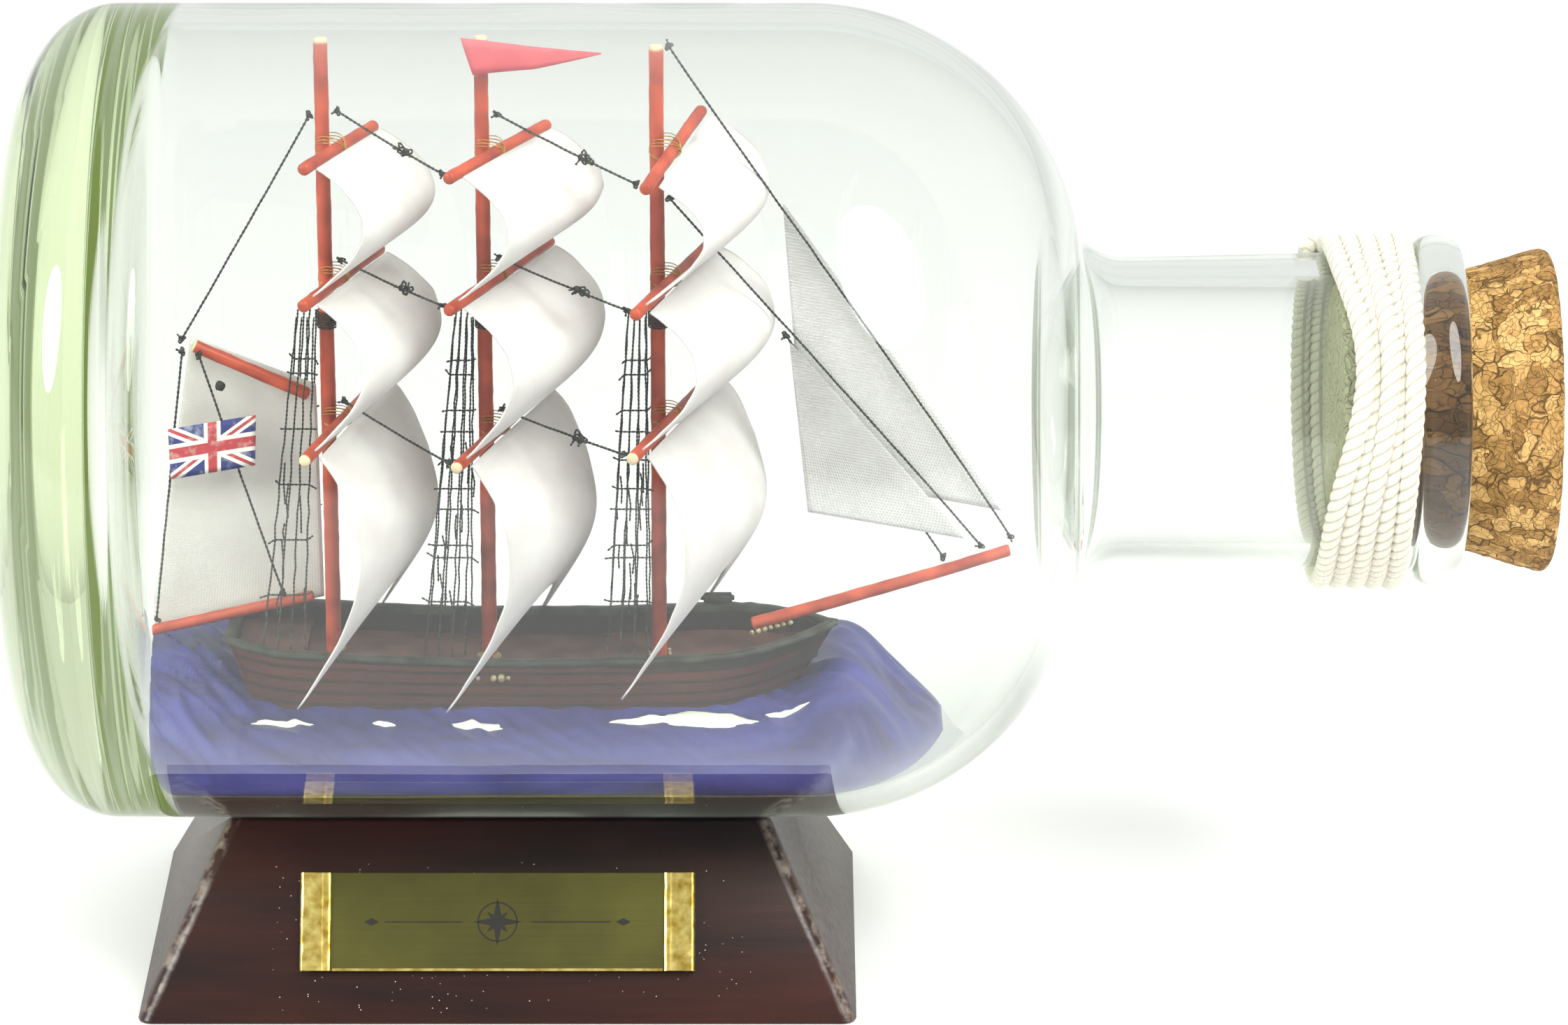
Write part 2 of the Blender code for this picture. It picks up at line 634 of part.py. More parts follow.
def sail_point(mast, level, across, down):
    """A point of a square sail: `across` runs from -1 (near edge) to 1, `down` from 0 to 1."""
    head, foot, forward = sail_corners(mast, level)
    top = head[0] + head[1] * (head[2] * across)
    bottom = foot[0] + foot[1] * (foot[2] * across)
    bottom += Vector((0, 0, SAIL_FOOT_RISE[level] * (1 - across**2)))
    if level == "lower":
        bottom.x -= COURSE_CLEW_AFT * across**2
    belly = SAIL_BELLY[level] * math.sin(math.pi * down**0.85)
    belly += SAIL_FOOT_BELLY[level] * math.sin(math.pi / 2 * down) * (1 - across**2)
    return top.lerp(bottom, down) + forward * belly


def build_square_sails(canvas):
    for mast, level in YARDS:
        rows = []
        for j in range(SAIL_STEPS_DOWN + 1):
            row = []
            for i in range(SAIL_STEPS_ACROSS + 1):
                across = 2 * i / SAIL_STEPS_ACROSS - 1
                row.append(sail_point(mast, level, across, j / SAIL_STEPS_DOWN))
            rows.append(row)
        cloth(f"{mast}_{level}_sail", rows, SAIL_THICKNESS, canvas, yard_frame(mast, level)[0])


def build_fore_and_aft(paint, canvas, muslin):
    rod("gaff", midship(GAFF_ENDS[0]), midship(GAFF_ENDS[1]), GAFF_RADIUS, paint, sides=8)
    rod("boom", midship(BOOM_ENDS[0]), midship(BOOM_ENDS[1]), BOOM_RADIUS, paint, sides=8)
    heel, tip = [midship(end) for end in BOWSPRIT_ENDS]
    rod("bowsprit", heel, tip, BOWSPRIT_RADIUS, paint, BOWSPRIT_RADIUS * 0.9, 8)
    side = Vector((0, SPANKER_SIDE, 0))
    plate_solid("spanker", [midship(corner) + side for corner in SPANKER_CORNERS], JIB_THICKNESS, canvas)
    aside = Vector((0, THREAD_RADIUS + GAP + JIB_THICKNESS / 2, 0))
    plate_solid("outer_jib", [midship(corner) + aside for corner in OUTER_JIB], JIB_THICKNESS, muslin)
    plate_solid("inner_jib", [midship(corner) - aside for corner in INNER_JIB], JIB_THICKNESS, muslin)


def build_flags(paper, red):
    near_side = Vector((0, -(GAFF_RADIUS + 2 * THREAD_RADIUS + 2 * GAP + FLAG_THICKNESS / 2), 0))
    plate_solid("ensign", [midship(corner) + near_side for corner in ENSIGN], FLAG_THICKNESS, paper)
    x, top = MASTS["main"]
    near_side = Vector((0, -(MAST_RADIUS + GAP + FLAG_THICKNESS / 2), 0))
    outline = (
        (x - PENNANT_AFT, top),
        (x + PENNANT_FLY * 0.4, top - 0.7 * MM),
        (x + PENNANT_FLY, top - 1.3 * MM),
        (x + PENNANT_FLY * 0.45, top - 2.7 * MM),
        (x - PENNANT_AFT * 0.4, top - PENNANT_HOIST),
    )
    plate_solid("pennant", [midship(corner) + near_side for corner in outline], FLAG_THICKNESS, red)


def shroud_point(mast, side, line, row):
    """A crossing of a shroud with a ratline: `side` is -1 near and 1 far; row 0 is at the mast."""
    x = MASTS[mast][0]
    foot_x = x - SHROUD_FOOT_AFT[mast]
    t = row / (RATLINES + 1)
    half = SHROUD_TOP_HALF + (SHROUD_FOOT_HALF - SHROUD_TOP_HALF) * t
    middle = x - SHROUD_TOP_AFT + (SHROUD_TOP_AFT - SHROUD_FOOT_AFT[mast]) * t
    top_y = MAST_RADIUS + GAP + THREAD_RADIUS
    foot_y = hull_half(foot_x) - BULWARK / 2
    foot_z = rail_height(foot_x) + GAP + THREAD_RADIUS
    height = SHROUD_TOP_Z + (foot_z - SHROUD_TOP_Z) * t
    aside = half * (2 * line / (SHROUD_LINES - 1) - 1)
    return inside(middle + aside, SHIP_Y + side * (top_y + (foot_y - top_y) * t), height)


def build_shrouds(black):
    """Ladders of thread from each mast to the rail, one on each side, made as thin lattices."""
    for mast in MASTS:
        for side, label in ((-1, "near"), (1, "far")):
            bm = bmesh.new()
            rows = []
            for row in range(RATLINES + 2):
                points = [shroud_point(mast, side, line, row) for line in range(SHROUD_LINES)]
                rows.append([bm.verts.new(point) for point in points])
            for above, below in zip(rows, rows[1:]):
                for i in range(SHROUD_LINES - 1):
                    bm.faces.new((above[i], above[i + 1], below[i + 1], below[i]))
            obj = from_bmesh(f"{mast}_{label}_shrouds", bm, black, shroud_point(mast, side, 0, 0))
            lattice = obj.modifiers.new("lattice", "WIREFRAME")
            lattice.thickness = 2 * THREAD_RADIUS
            lattice.use_boundary = True
            lattice.use_even_offset = False


def build_forestays(black):
    """Three threads from the fore mast to the bowsprit; the lowest leaves the middle one at a fork."""
    x, top = MASTS["fore"]
    ahead = x + MAST_RADIUS + GAP + THREAD_RADIUS
    clear = Vector((0, 0, BOWSPRIT_RADIUS + 2 * GAP + THREAD_RADIUS))
    heel, tip = [midship(end) + clear for end in BOWSPRIT_ENDS]
    thread("outer_forestay", [inside(ahead, SHIP_Y, top - THREAD_RADIUS), tip], black)
    high = inside(ahead, SHIP_Y, INNER_STAY_TOP)
    foot = heel.lerp(tip, INNER_STAY_FOOT)
    thread("inner_forestay", [high, foot], black)
    fork = high.lerp(foot, STAY_FORK) - Vector((2 * THREAD_RADIUS + GAP, 0, GAP))
    thread("lower_forestay", [fork, heel.lerp(tip, LOWER_STAY_FOOT)], black)


def build_stern_lines(black):
    """Backstay from mizzen mast to gaff peak, and the lines from there to the boom."""
    peak = midship(GAFF_ENDS[0])
    knot = Vector((0, 0, KNOT_SPACE))
    away = Vector((-(GAFF_RADIUS + GAP + THREAD_RADIUS), 0, 0))
    hitch_x = MASTS["mizzen"][0] - MAST_RADIUS - GAP - THREAD_RADIUS
    thread("mizzen_backstay", [inside(hitch_x, SHIP_Y, BACKSTAY_HITCH), peak + away + knot], black)
    end = midship(BOOM_ENDS[0]) + Vector((2 * KNOT_SPACE, 0, BOOM_RADIUS + 2 * GAP + THREAD_RADIUS))
    thread("leech_line", [peak + away - knot, end], black)
    near = Vector((0, -(GAFF_RADIUS + GAP + THREAD_RADIUS), 0))
    start = peak + near + Vector((KNOT_SPACE, 0, 0)) - knot
    thread("flag_halyard", [start, midship(HALYARD_FOOT) + near], black)


def build_braces(black):
    """A thread from the mast behind to the near end of every yard on the main and fore masts."""
    for behind, mast in (("mizzen", "main"), ("main", "fore")):
        for level in LEVELS:
            middle, along, forward, half = yard_frame(mast, level)
            hitch = yard_frame(behind, level)[0] + Vector((0, 0, BRACE_RISE[level]))
            hitch.y = SHIP_Y - MAST_RADIUS - GAP - 2 * THREAD_RADIUS
            end = middle - along * (half - BRACE_INSET) - forward * (YARD_RADIUS + GAP + 2 * THREAD_RADIUS)
            thread(f"{mast}_{level}_brace", [hitch, end], black)


def build_bow_fitting(paint):
    """The cathead block on the far rail, just behind the bow."""
    bm = bmesh.new()
    bmesh.ops.create_cube(bm, size=1.0)
    size = Matrix.Diagonal((CATHEAD_LENGTH, CATHEAD_SIDE, CATHEAD_SIDE, 1.0))
    height = rail_height(CATHEAD_X) + 1.3 * GAP + CATHEAD_SIDE / 2
    place = inside(CATHEAD_X, SHIP_Y + hull_half(CATHEAD_X) - BULWARK / 2, height)
    bmesh.ops.transform(bm, matrix=Matrix.Translation(place) @ size, verts=bm.verts)
    return from_bmesh("bow_fitting", bm, paint, place)


def build():
    clear_scene()
    glass = make_material("clear_glass", (0.90, 0.95, 0.90), 0.03, transmission=1.0)
    cork = make_material("cork", (0.42, 0.24, 0.10), 0.85)
    cotton = make_material("ivory_cotton", (0.83, 0.80, 0.70), 0.9)
    wood = make_material("mahogany_lacquer", (0.09, 0.025, 0.012), 0.3)
    brass = make_material("brass", (0.45, 0.36, 0.08), 0.35, metallic=1.0)
    putty = make_material("blue_putty", (0.10, 0.10, 0.32), 0.55)
    maroon = make_material("maroon_paint", (0.12, 0.045, 0.04), 0.6)
    deck_paint = make_material("deck_paint", (0.11, 0.06, 0.05), 0.7)
    red_paint = make_material("red_spar_paint", (0.50, 0.08, 0.035), 0.5)
    canvas = make_material("white_sailcloth", (0.84, 0.80, 0.82), 0.8)
    muslin = make_material("white_muslin", (0.74, 0.70, 0.71), 0.85)
    black = make_material("black_thread", (0.03, 0.035, 0.03), 0.8)
    paper = make_material("flag_paper", (0.75, 0.72, 0.74), 0.7)
    red = make_material("red_paper", (0.72, 0.08, 0.13), 0.7)

    build_stand(wood)
    build_nameplate(brass)
    build_bottle(glass)
    build_cork(cork)
    build_neck_cord(cotton)
    build_hull(maroon, deck_paint)
    build_sea(putty)
    build_bow_fitting(black)
    build_masts(red_paint)
    build_yards(red_paint)
    build_square_sails(canvas)
    build_fore_and_aft(red_paint, canvas, muslin)
    build_flags(paper, red)
    build_shrouds(black)
    build_forestays(black)
    build_stern_lines(black)
    build_braces(black)


build()
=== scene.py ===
# %% [markdown]
# # A ship in a bottle
# A three-masted model ship lies on a sea of blue putty inside a clear glass bottle. The bottle rests in a
# dark wooden block, its neck is wound with cotton cord, and a cork closes it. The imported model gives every
# piece its place and size. This script gives each piece its finished surface, one cell at a time.

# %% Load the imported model
import math
import random

import bmesh
import bpy
import numpy as np
from mathutils import Matrix, Vector, noise


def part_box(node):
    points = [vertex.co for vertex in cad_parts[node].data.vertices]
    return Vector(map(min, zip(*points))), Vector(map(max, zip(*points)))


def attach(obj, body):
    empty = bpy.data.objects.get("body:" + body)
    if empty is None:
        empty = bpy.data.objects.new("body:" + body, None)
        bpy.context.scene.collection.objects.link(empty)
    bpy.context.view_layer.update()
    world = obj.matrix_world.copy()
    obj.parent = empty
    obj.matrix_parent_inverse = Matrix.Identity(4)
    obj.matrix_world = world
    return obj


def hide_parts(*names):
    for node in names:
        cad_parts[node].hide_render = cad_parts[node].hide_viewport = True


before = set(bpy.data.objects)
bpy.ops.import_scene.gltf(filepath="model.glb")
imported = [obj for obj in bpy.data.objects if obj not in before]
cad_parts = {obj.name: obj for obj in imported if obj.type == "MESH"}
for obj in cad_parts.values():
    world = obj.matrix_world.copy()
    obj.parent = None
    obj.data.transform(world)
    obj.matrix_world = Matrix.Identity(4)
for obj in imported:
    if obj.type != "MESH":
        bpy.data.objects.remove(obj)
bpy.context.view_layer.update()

MM = 0.001
ROOT = "bottle_and_ship"
CORK = "cork"
glass_low, glass_high = [Vector(corner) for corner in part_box("glass_bottle")]
AXIS_Z = (glass_low.z + glass_high.z) / 2
SHIP_Y = sum(corner[1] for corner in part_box("main_mast")) / 2
print("bottle axis at", round(AXIS_Z / MM, 2), "mm; ship's middle plane at", round(SHIP_Y / MM, 2), "mm")

# %% [markdown]
# ## Camera
# A product picture of a small object is taken from well back with a long lens, so that its lines stay nearly
# parallel. The camera stands 20 degrees above the table and 650 mm away. A closer, wider lens would bend the
# bottle's outline, and that is why the distance is set before anything else.

# %% Camera
CAMERA_ELEVATION = math.radians(20)
CAMERA_DISTANCE = 650 * MM
AIM = Vector((0, 0, 42.53 * MM))
camera_data = bpy.data.cameras.new("camera")
camera_data.sensor_width = 36
camera_data.lens = 160.97
camera_data.clip_start = 0.01
camera = bpy.data.objects.new("camera", camera_data)
back = Vector((0, -math.cos(CAMERA_ELEVATION), math.sin(CAMERA_ELEVATION)))
camera.location = AIM + back * CAMERA_DISTANCE
camera.rotation_euler = (math.pi / 2 - CAMERA_ELEVATION, 0, 0)
bpy.context.scene.collection.objects.link(camera)
bpy.context.scene.camera = camera
print("camera", [round(value, 3) for value in camera.location])

# %% [markdown]
# ## Light and floor
# Glass shows what surrounds it, so the studio is bright on all sides: a white world, a pale floor and two
# wide round soft boxes. The box on the right makes the rounded highlight on the bottle's shoulder. Small
# hard lamps would give glittering points instead, which clear glass does not show in a soft studio.

# %% Light and floor
def linear(code):
    """An sRGB hex colour as linear red, green, blue and alpha."""
    values = [int(code[i : i + 2], 16) / 255 for i in (1, 3, 5)]
    return (*[v / 12.92 if v <= 0.04045 else ((v + 0.055) / 1.055) ** 2.4 for v in values], 1.0)


def feed(node, inputs):
    """Gives inputs, by name or number, a value, a socket or a node, which is its first output in use."""
    for key, value in inputs.items():
        if isinstance(value, bpy.types.Node):
            value = next(socket for socket in value.outputs if socket.enabled)
        if isinstance(value, bpy.types.NodeSocket):
            node.id_data.links.new(value, node.inputs[key])
        else:
            node.inputs[key].default_value = value


def add(tree, kind, settings={}):
    """Adds a node with its properties and inputs. In a shader tree its kind is said without ShaderNode."""
    node = tree.nodes.new(kind if tree.bl_idname == "GeometryNodeTree" else "ShaderNode" + kind)
    own = [key for key in settings if isinstance(key, str) and hasattr(node, key)]
    for key in own:
        setattr(node, key, settings[key])
    feed(node, {key: value for key, value in settings.items() if key not in own})
    return node


def new_finish(name, colour, roughness, **sockets):
    """A material whose Principled shader starts from one colour and roughness."""
    material = bpy.data.materials.new(name)
    material.use_nodes = True
    shader = material.node_tree.nodes["Principled BSDF"]
    shader.inputs["Base Color"].default_value = linear(colour)
    shader.inputs["Roughness"].default_value = roughness
    for socket, value in sockets.items():
        shader.inputs[socket.replace("_", " ")].default_value = value
    return material, material.node_tree, shader


def put(name, data):
    """A new object in the scene."""
    item = bpy.data.objects.new(name, data)
    bpy.context.scene.collection.objects.link(item)
    return item


def soft_box(name, place, target, width, height, watts, shape):
    light = bpy.data.lights.new(name, "AREA")
    light.shape = shape
    light.size = width
    light.size_y = height
    light.energy = watts
    lamp = put(name, light)
    lamp.location = place
    lamp.rotation_euler = (Vector(target) - Vector(place)).to_track_quat("-Z", "Y").to_euler()


world = bpy.data.worlds.new("white_studio")
world.use_nodes = True
sky = world.node_tree
# The studio is white behind the object and a pale grey on the camera's side, which keeps the glass clear.
direction = add(sky, "TexCoord").outputs["Generated"]
parts = add(sky, "SeparateXYZ", {"Vector": direction})
level = add(sky, "MapRange",
            {"From Min": -0.75, "From Max": 0.35, "To Min": 0.56, "To Max": 1.0, "Value": parts.outputs["Y"]})
sky.nodes["Background"].inputs["Color"].default_value = linear("#FCFDFE")
feed(sky.nodes["Background"], {"Strength": level})
bpy.context.scene.world = world
# The finishes are matched as plain sRGB colours, so the picture is shown with the plain transform.
bpy.context.scene.view_settings.view_transform = "Standard"
soft_box("right_soft_box", (0.40, -0.37, 0.70), (0, 0, 0.05), 0.46, 0.62, 7.0, "ELLIPSE")
soft_box("left_soft_box", (-0.75, -0.40, 0.50), (0, 0, 0.05), 0.4, 0.5, 6.0, "ELLIPSE")

floor_material, _, _ = new_finish("pale_floor", "#F6F6F5", 0.6)
floor_mesh = bpy.data.meshes.new("floor")
SIDE = 3.0
corners = [(-SIDE, -SIDE, 0), (SIDE, -SIDE, 0), (SIDE, SIDE, 0), (-SIDE, SIDE, 0)]
floor_mesh.from_pydata(corners, [], [(0, 1, 2, 3)])
floor_mesh.materials.append(floor_material)
floor = put("floor", floor_mesh)
print("floor", 2 * SIDE, "m wide")

# %% [markdown]
# ## Tools for making pieces
# Nearly every piece here is a row of rings or a grid of points. One helper turns points into a finished
# object. A second runs a Geometry Nodes tree and keeps its result as a plain mesh. A third reads a straight
# spar's or thread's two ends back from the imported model, so that no length is written twice.

# %% Helpers for meshes
def new_piece(name, points, faces, material, sharp=35, uv=None):
    """A smooth-shaded object from points and faces, its normals turned outwards; uv has one pair a point."""
    mesh = bpy.data.meshes.new(name)
    mesh.from_pydata([tuple(point) for point in points], [], faces)
    bm = bmesh.new()
    bm.from_mesh(mesh)
    if uv is not None:
        layer = bm.loops.layers.uv.new("surface")
        for face in bm.faces:
            for loop in face.loops:
                loop[layer].uv = uv[loop.vert.index]
    bmesh.ops.remove_doubles(bm, verts=bm.verts, dist=1e-6)
    bmesh.ops.recalc_face_normals(bm, faces=bm.faces)
    bm.to_mesh(mesh)
    bm.free()
    mesh.materials.append(material)
    mesh.shade_smooth()
    mesh.set_sharp_from_angle(angle=math.radians(sharp))
    piece = put(name, mesh)
    return piece


def ring_faces(count, size, closed=True, capped=True):
    """Faces that join `count` rings of `size` points each, with the end rings filled if capped."""
    faces = []
    for i in range(count - 1):
        for k in range(size if closed else size - 1):
            j = (k + 1) % size
            faces.append((i * size + k, i * size + j, (i + 1) * size + j, (i + 1) * size + k))
    if capped:
        faces.append(tuple(range(size))[::-1])
        faces.append(tuple((count - 1) * size + k for k in range(size)))
    return faces


def inside(x, y, height):
    """A point from its height above the bottle's axis."""
    return Vector((x, y, AXIS_Z + height))


def run_ends(node):
    """The two ends of a straight CAD piece, lowest x first, from the points of its mesh."""
    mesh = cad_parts[node].data
    points = np.empty(len(mesh.vertices) * 3)
    mesh.vertices.foreach_get("co", points)
    points = points.reshape(-1, 3)
    middle = points.mean(axis=0)
    along = np.linalg.svd(points - middle, full_matrices=False)[2][0]
    reach = (points - middle) @ along
    near = points[reach > reach.max() - 0.1 * MM].mean(axis=0)
    far = points[reach < reach.min() + 0.1 * MM].mean(axis=0)
    return sorted((Vector(near), Vector(far)), key=lambda point: tuple(point))


def new_tree(name, sizes):
    """A Geometry Nodes tree with geometry in and out, the named sizes and a material."""
    tree = bpy.data.node_groups.new(name, "GeometryNodeTree")
    tree.interface.new_socket("Geometry", in_out="INPUT", socket_type="NodeSocketGeometry")
    for size, kind in sizes.items():
        tree.interface.new_socket(size, in_out="INPUT", socket_type="NodeSocket" + kind)
    tree.interface.new_socket("Material", in_out="INPUT", socket_type="NodeSocketMaterial")
    tree.interface.new_socket("Geometry", in_out="OUTPUT", socket_type="NodeSocketGeometry")
    return tree, add(tree, "NodeGroupInput").outputs


def end_tree(tree, given, socket):
    """Ends a tree in Realize Instances and Set Material."""
    real = add(tree, "GeometryNodeRealizeInstances", {"Geometry": socket})
    done = add(tree, "GeometryNodeSetMaterial", {"Geometry": real, "Material": given["Material"]})
    add(tree, "NodeGroupOutput", {"Geometry": done})


def grow(name, tree, source, material, **values):
    """Runs a tree on a mesh and keeps the result as a plain mesh object."""
    piece = put(name, source)
    modifier = piece.modifiers.new("grow", "NODES")
    modifier.node_group = tree
    values["Material"] = material
    for item in tree.interface.items_tree:
        key = item.name.replace(" ", "_")
        if item.in_out == "INPUT" and key in values:
            modifier[item.identifier] = values[key]
    graph = bpy.context.evaluated_depsgraph_get()
    result = bpy.data.meshes.new_from_object(piece.evaluated_get(graph))
    piece.modifiers.remove(modifier)
    piece.data = result
    result.name = name
    result.shade_smooth()
    return piece


def line_mesh(name, runs):
    """A mesh of bare edges: each run is a list of points joined in order."""
    points = []
    edges = []
    for run in runs:
        start = len(points)
        points += [tuple(point) for point in run]
        edges += [(start + i, start + i + 1) for i in range(len(run) - 1)]
    mesh = bpy.data.meshes.new(name)
    mesh.from_pydata(points, edges, [])
    return mesh


def settle(piece, slot, *nodes, body=ROOT):
    """The piece rides on its body and stands for the CAD nodes named. Its slot is not used."""
    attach(piece, body)
    if nodes:
        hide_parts(*nodes)
    return piece


print("mast foot and top", [[round(v / MM, 1) for v in end] for end in run_ends("main_mast")])

# %% [markdown]
# ## Three Geometry Nodes trees
# Thread follows a path, so one tree makes every thread: it draws an oval along a line and turns the oval as
# it goes, which gives the two-ply twist of real sewing thread. Modelling each strand apart would cost ten
# times the faces for the same look. The second tree turns an outline about an axis, as a glass blower or a
# lathe does. The third strews small lumps over a surface: dust and dried glue.

# %% Thread tree
thread_tree, given = new_tree("twisted_thread", {"Radius": "Float", "Ply Length": "Float", "Step": "Float"})
line = add(thread_tree, "GeometryNodeMeshToCurve", {"Mesh": given["Geometry"]})
even = add(thread_tree, "GeometryNodeResampleCurve",
           {"mode": "LENGTH", "Curve": line, "Length": given["Step"]})
along = add(thread_tree, "GeometryNodeSplineParameter")
turn = add(thread_tree, "ShaderNodeMath",
           {"operation": "DIVIDE", 0: along.outputs["Length"], 1: given["Ply Length"]})
radians = add(thread_tree, "ShaderNodeMath", {"operation": "MULTIPLY", 1: 2 * math.pi, 0: turn})
twisted = add(thread_tree, "GeometryNodeSetCurveTilt", {"Curve": even, "Tilt": radians})
section = add(thread_tree, "GeometryNodeCurvePrimitiveCircle",
              {"mode": "RADIUS", "Resolution": 8, "Radius": given["Radius"]})
oval = add(thread_tree, "GeometryNodeTransform", {"Scale": (1.0, 0.62, 1.0), "Geometry": section})
swept = add(thread_tree, "GeometryNodeCurveToMesh",
            {"Fill Caps": True, "Curve": twisted, "Profile Curve": oval})
end_tree(thread_tree, given, swept)

# %% Lathe tree
lathe_tree, given = new_tree("turned_about_axis", {"Segments": "Int"})
outline = add(lathe_tree, "GeometryNodeMeshToCurve", {"Mesh": given["Geometry"]})
circle = add(lathe_tree, "GeometryNodeCurvePrimitiveCircle",
             {"mode": "RADIUS", "Radius": 1e-6, "Resolution": given["Segments"]})
shell = add(lathe_tree, "GeometryNodeCurveToMesh",
            {"Fill Caps": False, "Curve": circle, "Profile Curve": outline})
merged = add(lathe_tree, "GeometryNodeMergeByDistance", {"Distance": 4e-6, "Geometry": shell})
end_tree(lathe_tree, given, merged)

# %% Strewing tree
strew_sizes = {"Count per m2": "Float", "Lump Radius": "Float", "Seed": "Int"}
strew_tree, given = new_tree("strewn_lumps", strew_sizes)
spots = add(strew_tree, "GeometryNodeDistributePointsOnFaces",
            {"Mesh": given["Geometry"], "Density": given["Count per m2"], "Seed": given["Seed"]})
lump = add(strew_tree, "GeometryNodeMeshIcoSphere", {"Subdivisions": 1, "Radius": given["Lump Radius"]})
size = add(strew_tree, "FunctionNodeRandomValue",
           {"data_type": "FLOAT", 2: 0.35, 3: 1.0, "Seed": given["Seed"]})
strewn = add(strew_tree, "GeometryNodeInstanceOnPoints",
             {"Points": spots.outputs["Points"], "Instance": lump, "Scale": size.outputs[1]})
end_tree(strew_tree, given, strewn)
print("trees:", [tree.name for tree in bpy.data.node_groups])

# %% [markdown]
# ## The glass bottle
# The bottle is soda-lime glass, blown in a mould: a thick base, thin walls, a rounded shoulder, a neck and
# a rolled lip. Clear glass has a faint green cast that only shows where it is thick, so the colour is given
# to the inside of the glass as absorption and not to its surface. Looking along the base the light crosses
# 60 mm of glass, which is why the base is green while the walls look clear; a painted olive glow greens it
# further. The wall is a true shell with an inner and an outer face, so it bends what is seen through it as
# the real one does. Shadow rays pass straight through, because otherwise the ship inside would stand in the
# dark.

# %% Clear glass finish
def clear_glass_finish():
    material = bpy.data.materials.new("clear_soda_lime_glass")
    material.use_nodes = True
    tree = material.node_tree
    tree.nodes.clear()
    coords = add(tree, "TexCoord")
    stretch = add(tree, "Mapping", {"Scale": (1.0, 0.35, 0.35), "Vector": coords.outputs["Object"]})
    # Blown walls are uneven over about 15 mm, mostly in rings round the bottle.
    waves = add(tree, "TexNoise", {"Scale": 70.0, "Detail": 1.0, "Vector": stretch})
    uneven = add(tree, "Bump", {"Strength": 0.35, "Distance": 0.5 * MM, "Height": waves})
    glass = add(tree, "BsdfGlass",
                {"IOR": 1.5, "Roughness": 0.0, "Color": linear("#F9FAF9"), "Normal": uneven})
    clear = add(tree, "BsdfTransparent", {"Color": linear("#F7F9F5")})
    path = add(tree, "LightPath")
    mixed = add(tree, "MixShader", {0: path.outputs["Is Shadow Ray"], 1: glass, 2: clear})
    # Rays passed on inside the wall more than five times end in a painted glow, pale like a glass edge
    # and olive green in the thick base, in place of the light they would still carry.
    place = add(tree, "SeparateXYZ", {"Vector": coords.outputs["Object"]})
    thick = add(tree, "MapRange", {"From Min": -57 * MM, "From Max": -62 * MM, "Value": place.outputs["X"]})
    painted_glow_colour = add(tree, "Mix",
                      {"data_type": "RGBA", 6: linear("#D9DED6"), 7: linear("#AEBC74"), 0: thick})
    painted_glow = add(tree, "Emission", {"Strength": 0.9, "Color": painted_glow_colour})
    deep = add(tree, "Math", {"operation": "GREATER_THAN", 1: 5.5, 0: path.outputs["Ray Depth"]})
    ended = add(tree, "MixShader", {0: deep, 1: mixed, 2: painted_glow})
    # In 60 mm of glass a quarter of the red, a fifth of the green and four tenths of the blue are lost.
    tint = add(tree, "VolumeAbsorption", {"Color": linear("#D2E39B"), "Density": 14.0})
    add(tree, "OutputMaterial", {"Surface": ended, "Volume": tint})
    return material


# %% Bottle outline
WALL = 1.8 * MM
BASE_THICKNESS = 9.0 * MM
BASE_CORNER_LENGTH = 9.5 * MM
BASE_FLAT_RADIUS = 24.0 * MM
CAVITY_CORNER = 6.0 * MM
SHOULDER_X = 2.0 * MM
SHOULDER_ROUND = 25.5 * MM
NECK_RADIUS = 14.1 * MM
NECK_FILLET = 4.5 * MM
NECK_FLARE = 0.6 * MM
LIP_START_X = 57.7 * MM
LIP_RADIUS = 16.2 * MM
LIP_ROUND = 1.4 * MM
BOTTLE_RADIUS = (glass_high.z - glass_low.z) / 2
BASE_X = glass_low.x
LIP_END_X = glass_high.x
INNER_RADIUS = BOTTLE_RADIUS - WALL
FLOOR_X = BASE_X + BASE_THICKNESS


def arc(centre, radii, start, end, steps):
    """Points (x, r) on an ellipse, with both ends, for angles in degrees."""
    angles = [math.radians(start + (end - start) * i / steps) for i in range(steps + 1)]
    return [(centre[0] + radii[0] * math.cos(a), centre[1] + radii[1] * math.sin(a)) for a in angles]


def hollow_x():
    """Where the hollow between shoulder and neck has its centre."""
    rise = NECK_RADIUS + NECK_FILLET - (BOTTLE_RADIUS - SHOULDER_ROUND)
    return SHOULDER_X + math.sqrt((SHOULDER_ROUND + NECK_FILLET) ** 2 - rise**2)


def neck_radius_at(x):
    return NECK_RADIUS + NECK_FLARE * (x - hollow_x()) / (LIP_START_X - hollow_x())


def shoulder(offset):
    """Shoulder and hollow, moved inwards by `offset`, from the body to the neck."""
    shoulder_r = BOTTLE_RADIUS - SHOULDER_ROUND
    hollow_r = NECK_RADIUS + NECK_FILLET
    meet = math.degrees(math.atan2(hollow_r - shoulder_r, hollow_x() - SHOULDER_X))
    points = arc((SHOULDER_X, shoulder_r), (SHOULDER_ROUND - offset,) * 2, 90, meet, 72)
    return points + arc((hollow_x(), hollow_r), (NECK_FILLET + offset,) * 2, 180 + meet, 270, 18)[1:]


def with_margins(points, margin):
    """The outline with a point just inside both ends of each long straight, so that only the corner is
    shaded round and the straight stays as clear as it is."""
    result = [points[0]]
    for start, end in zip(points, points[1:]):
        length = math.dist(start, end)
        if length > 3 * margin:
            for share in (margin / length, 1 - margin / length):
                result.append(tuple(a + (b - a) * share for a, b in zip(start, end)))
        result.append(end)
    return result


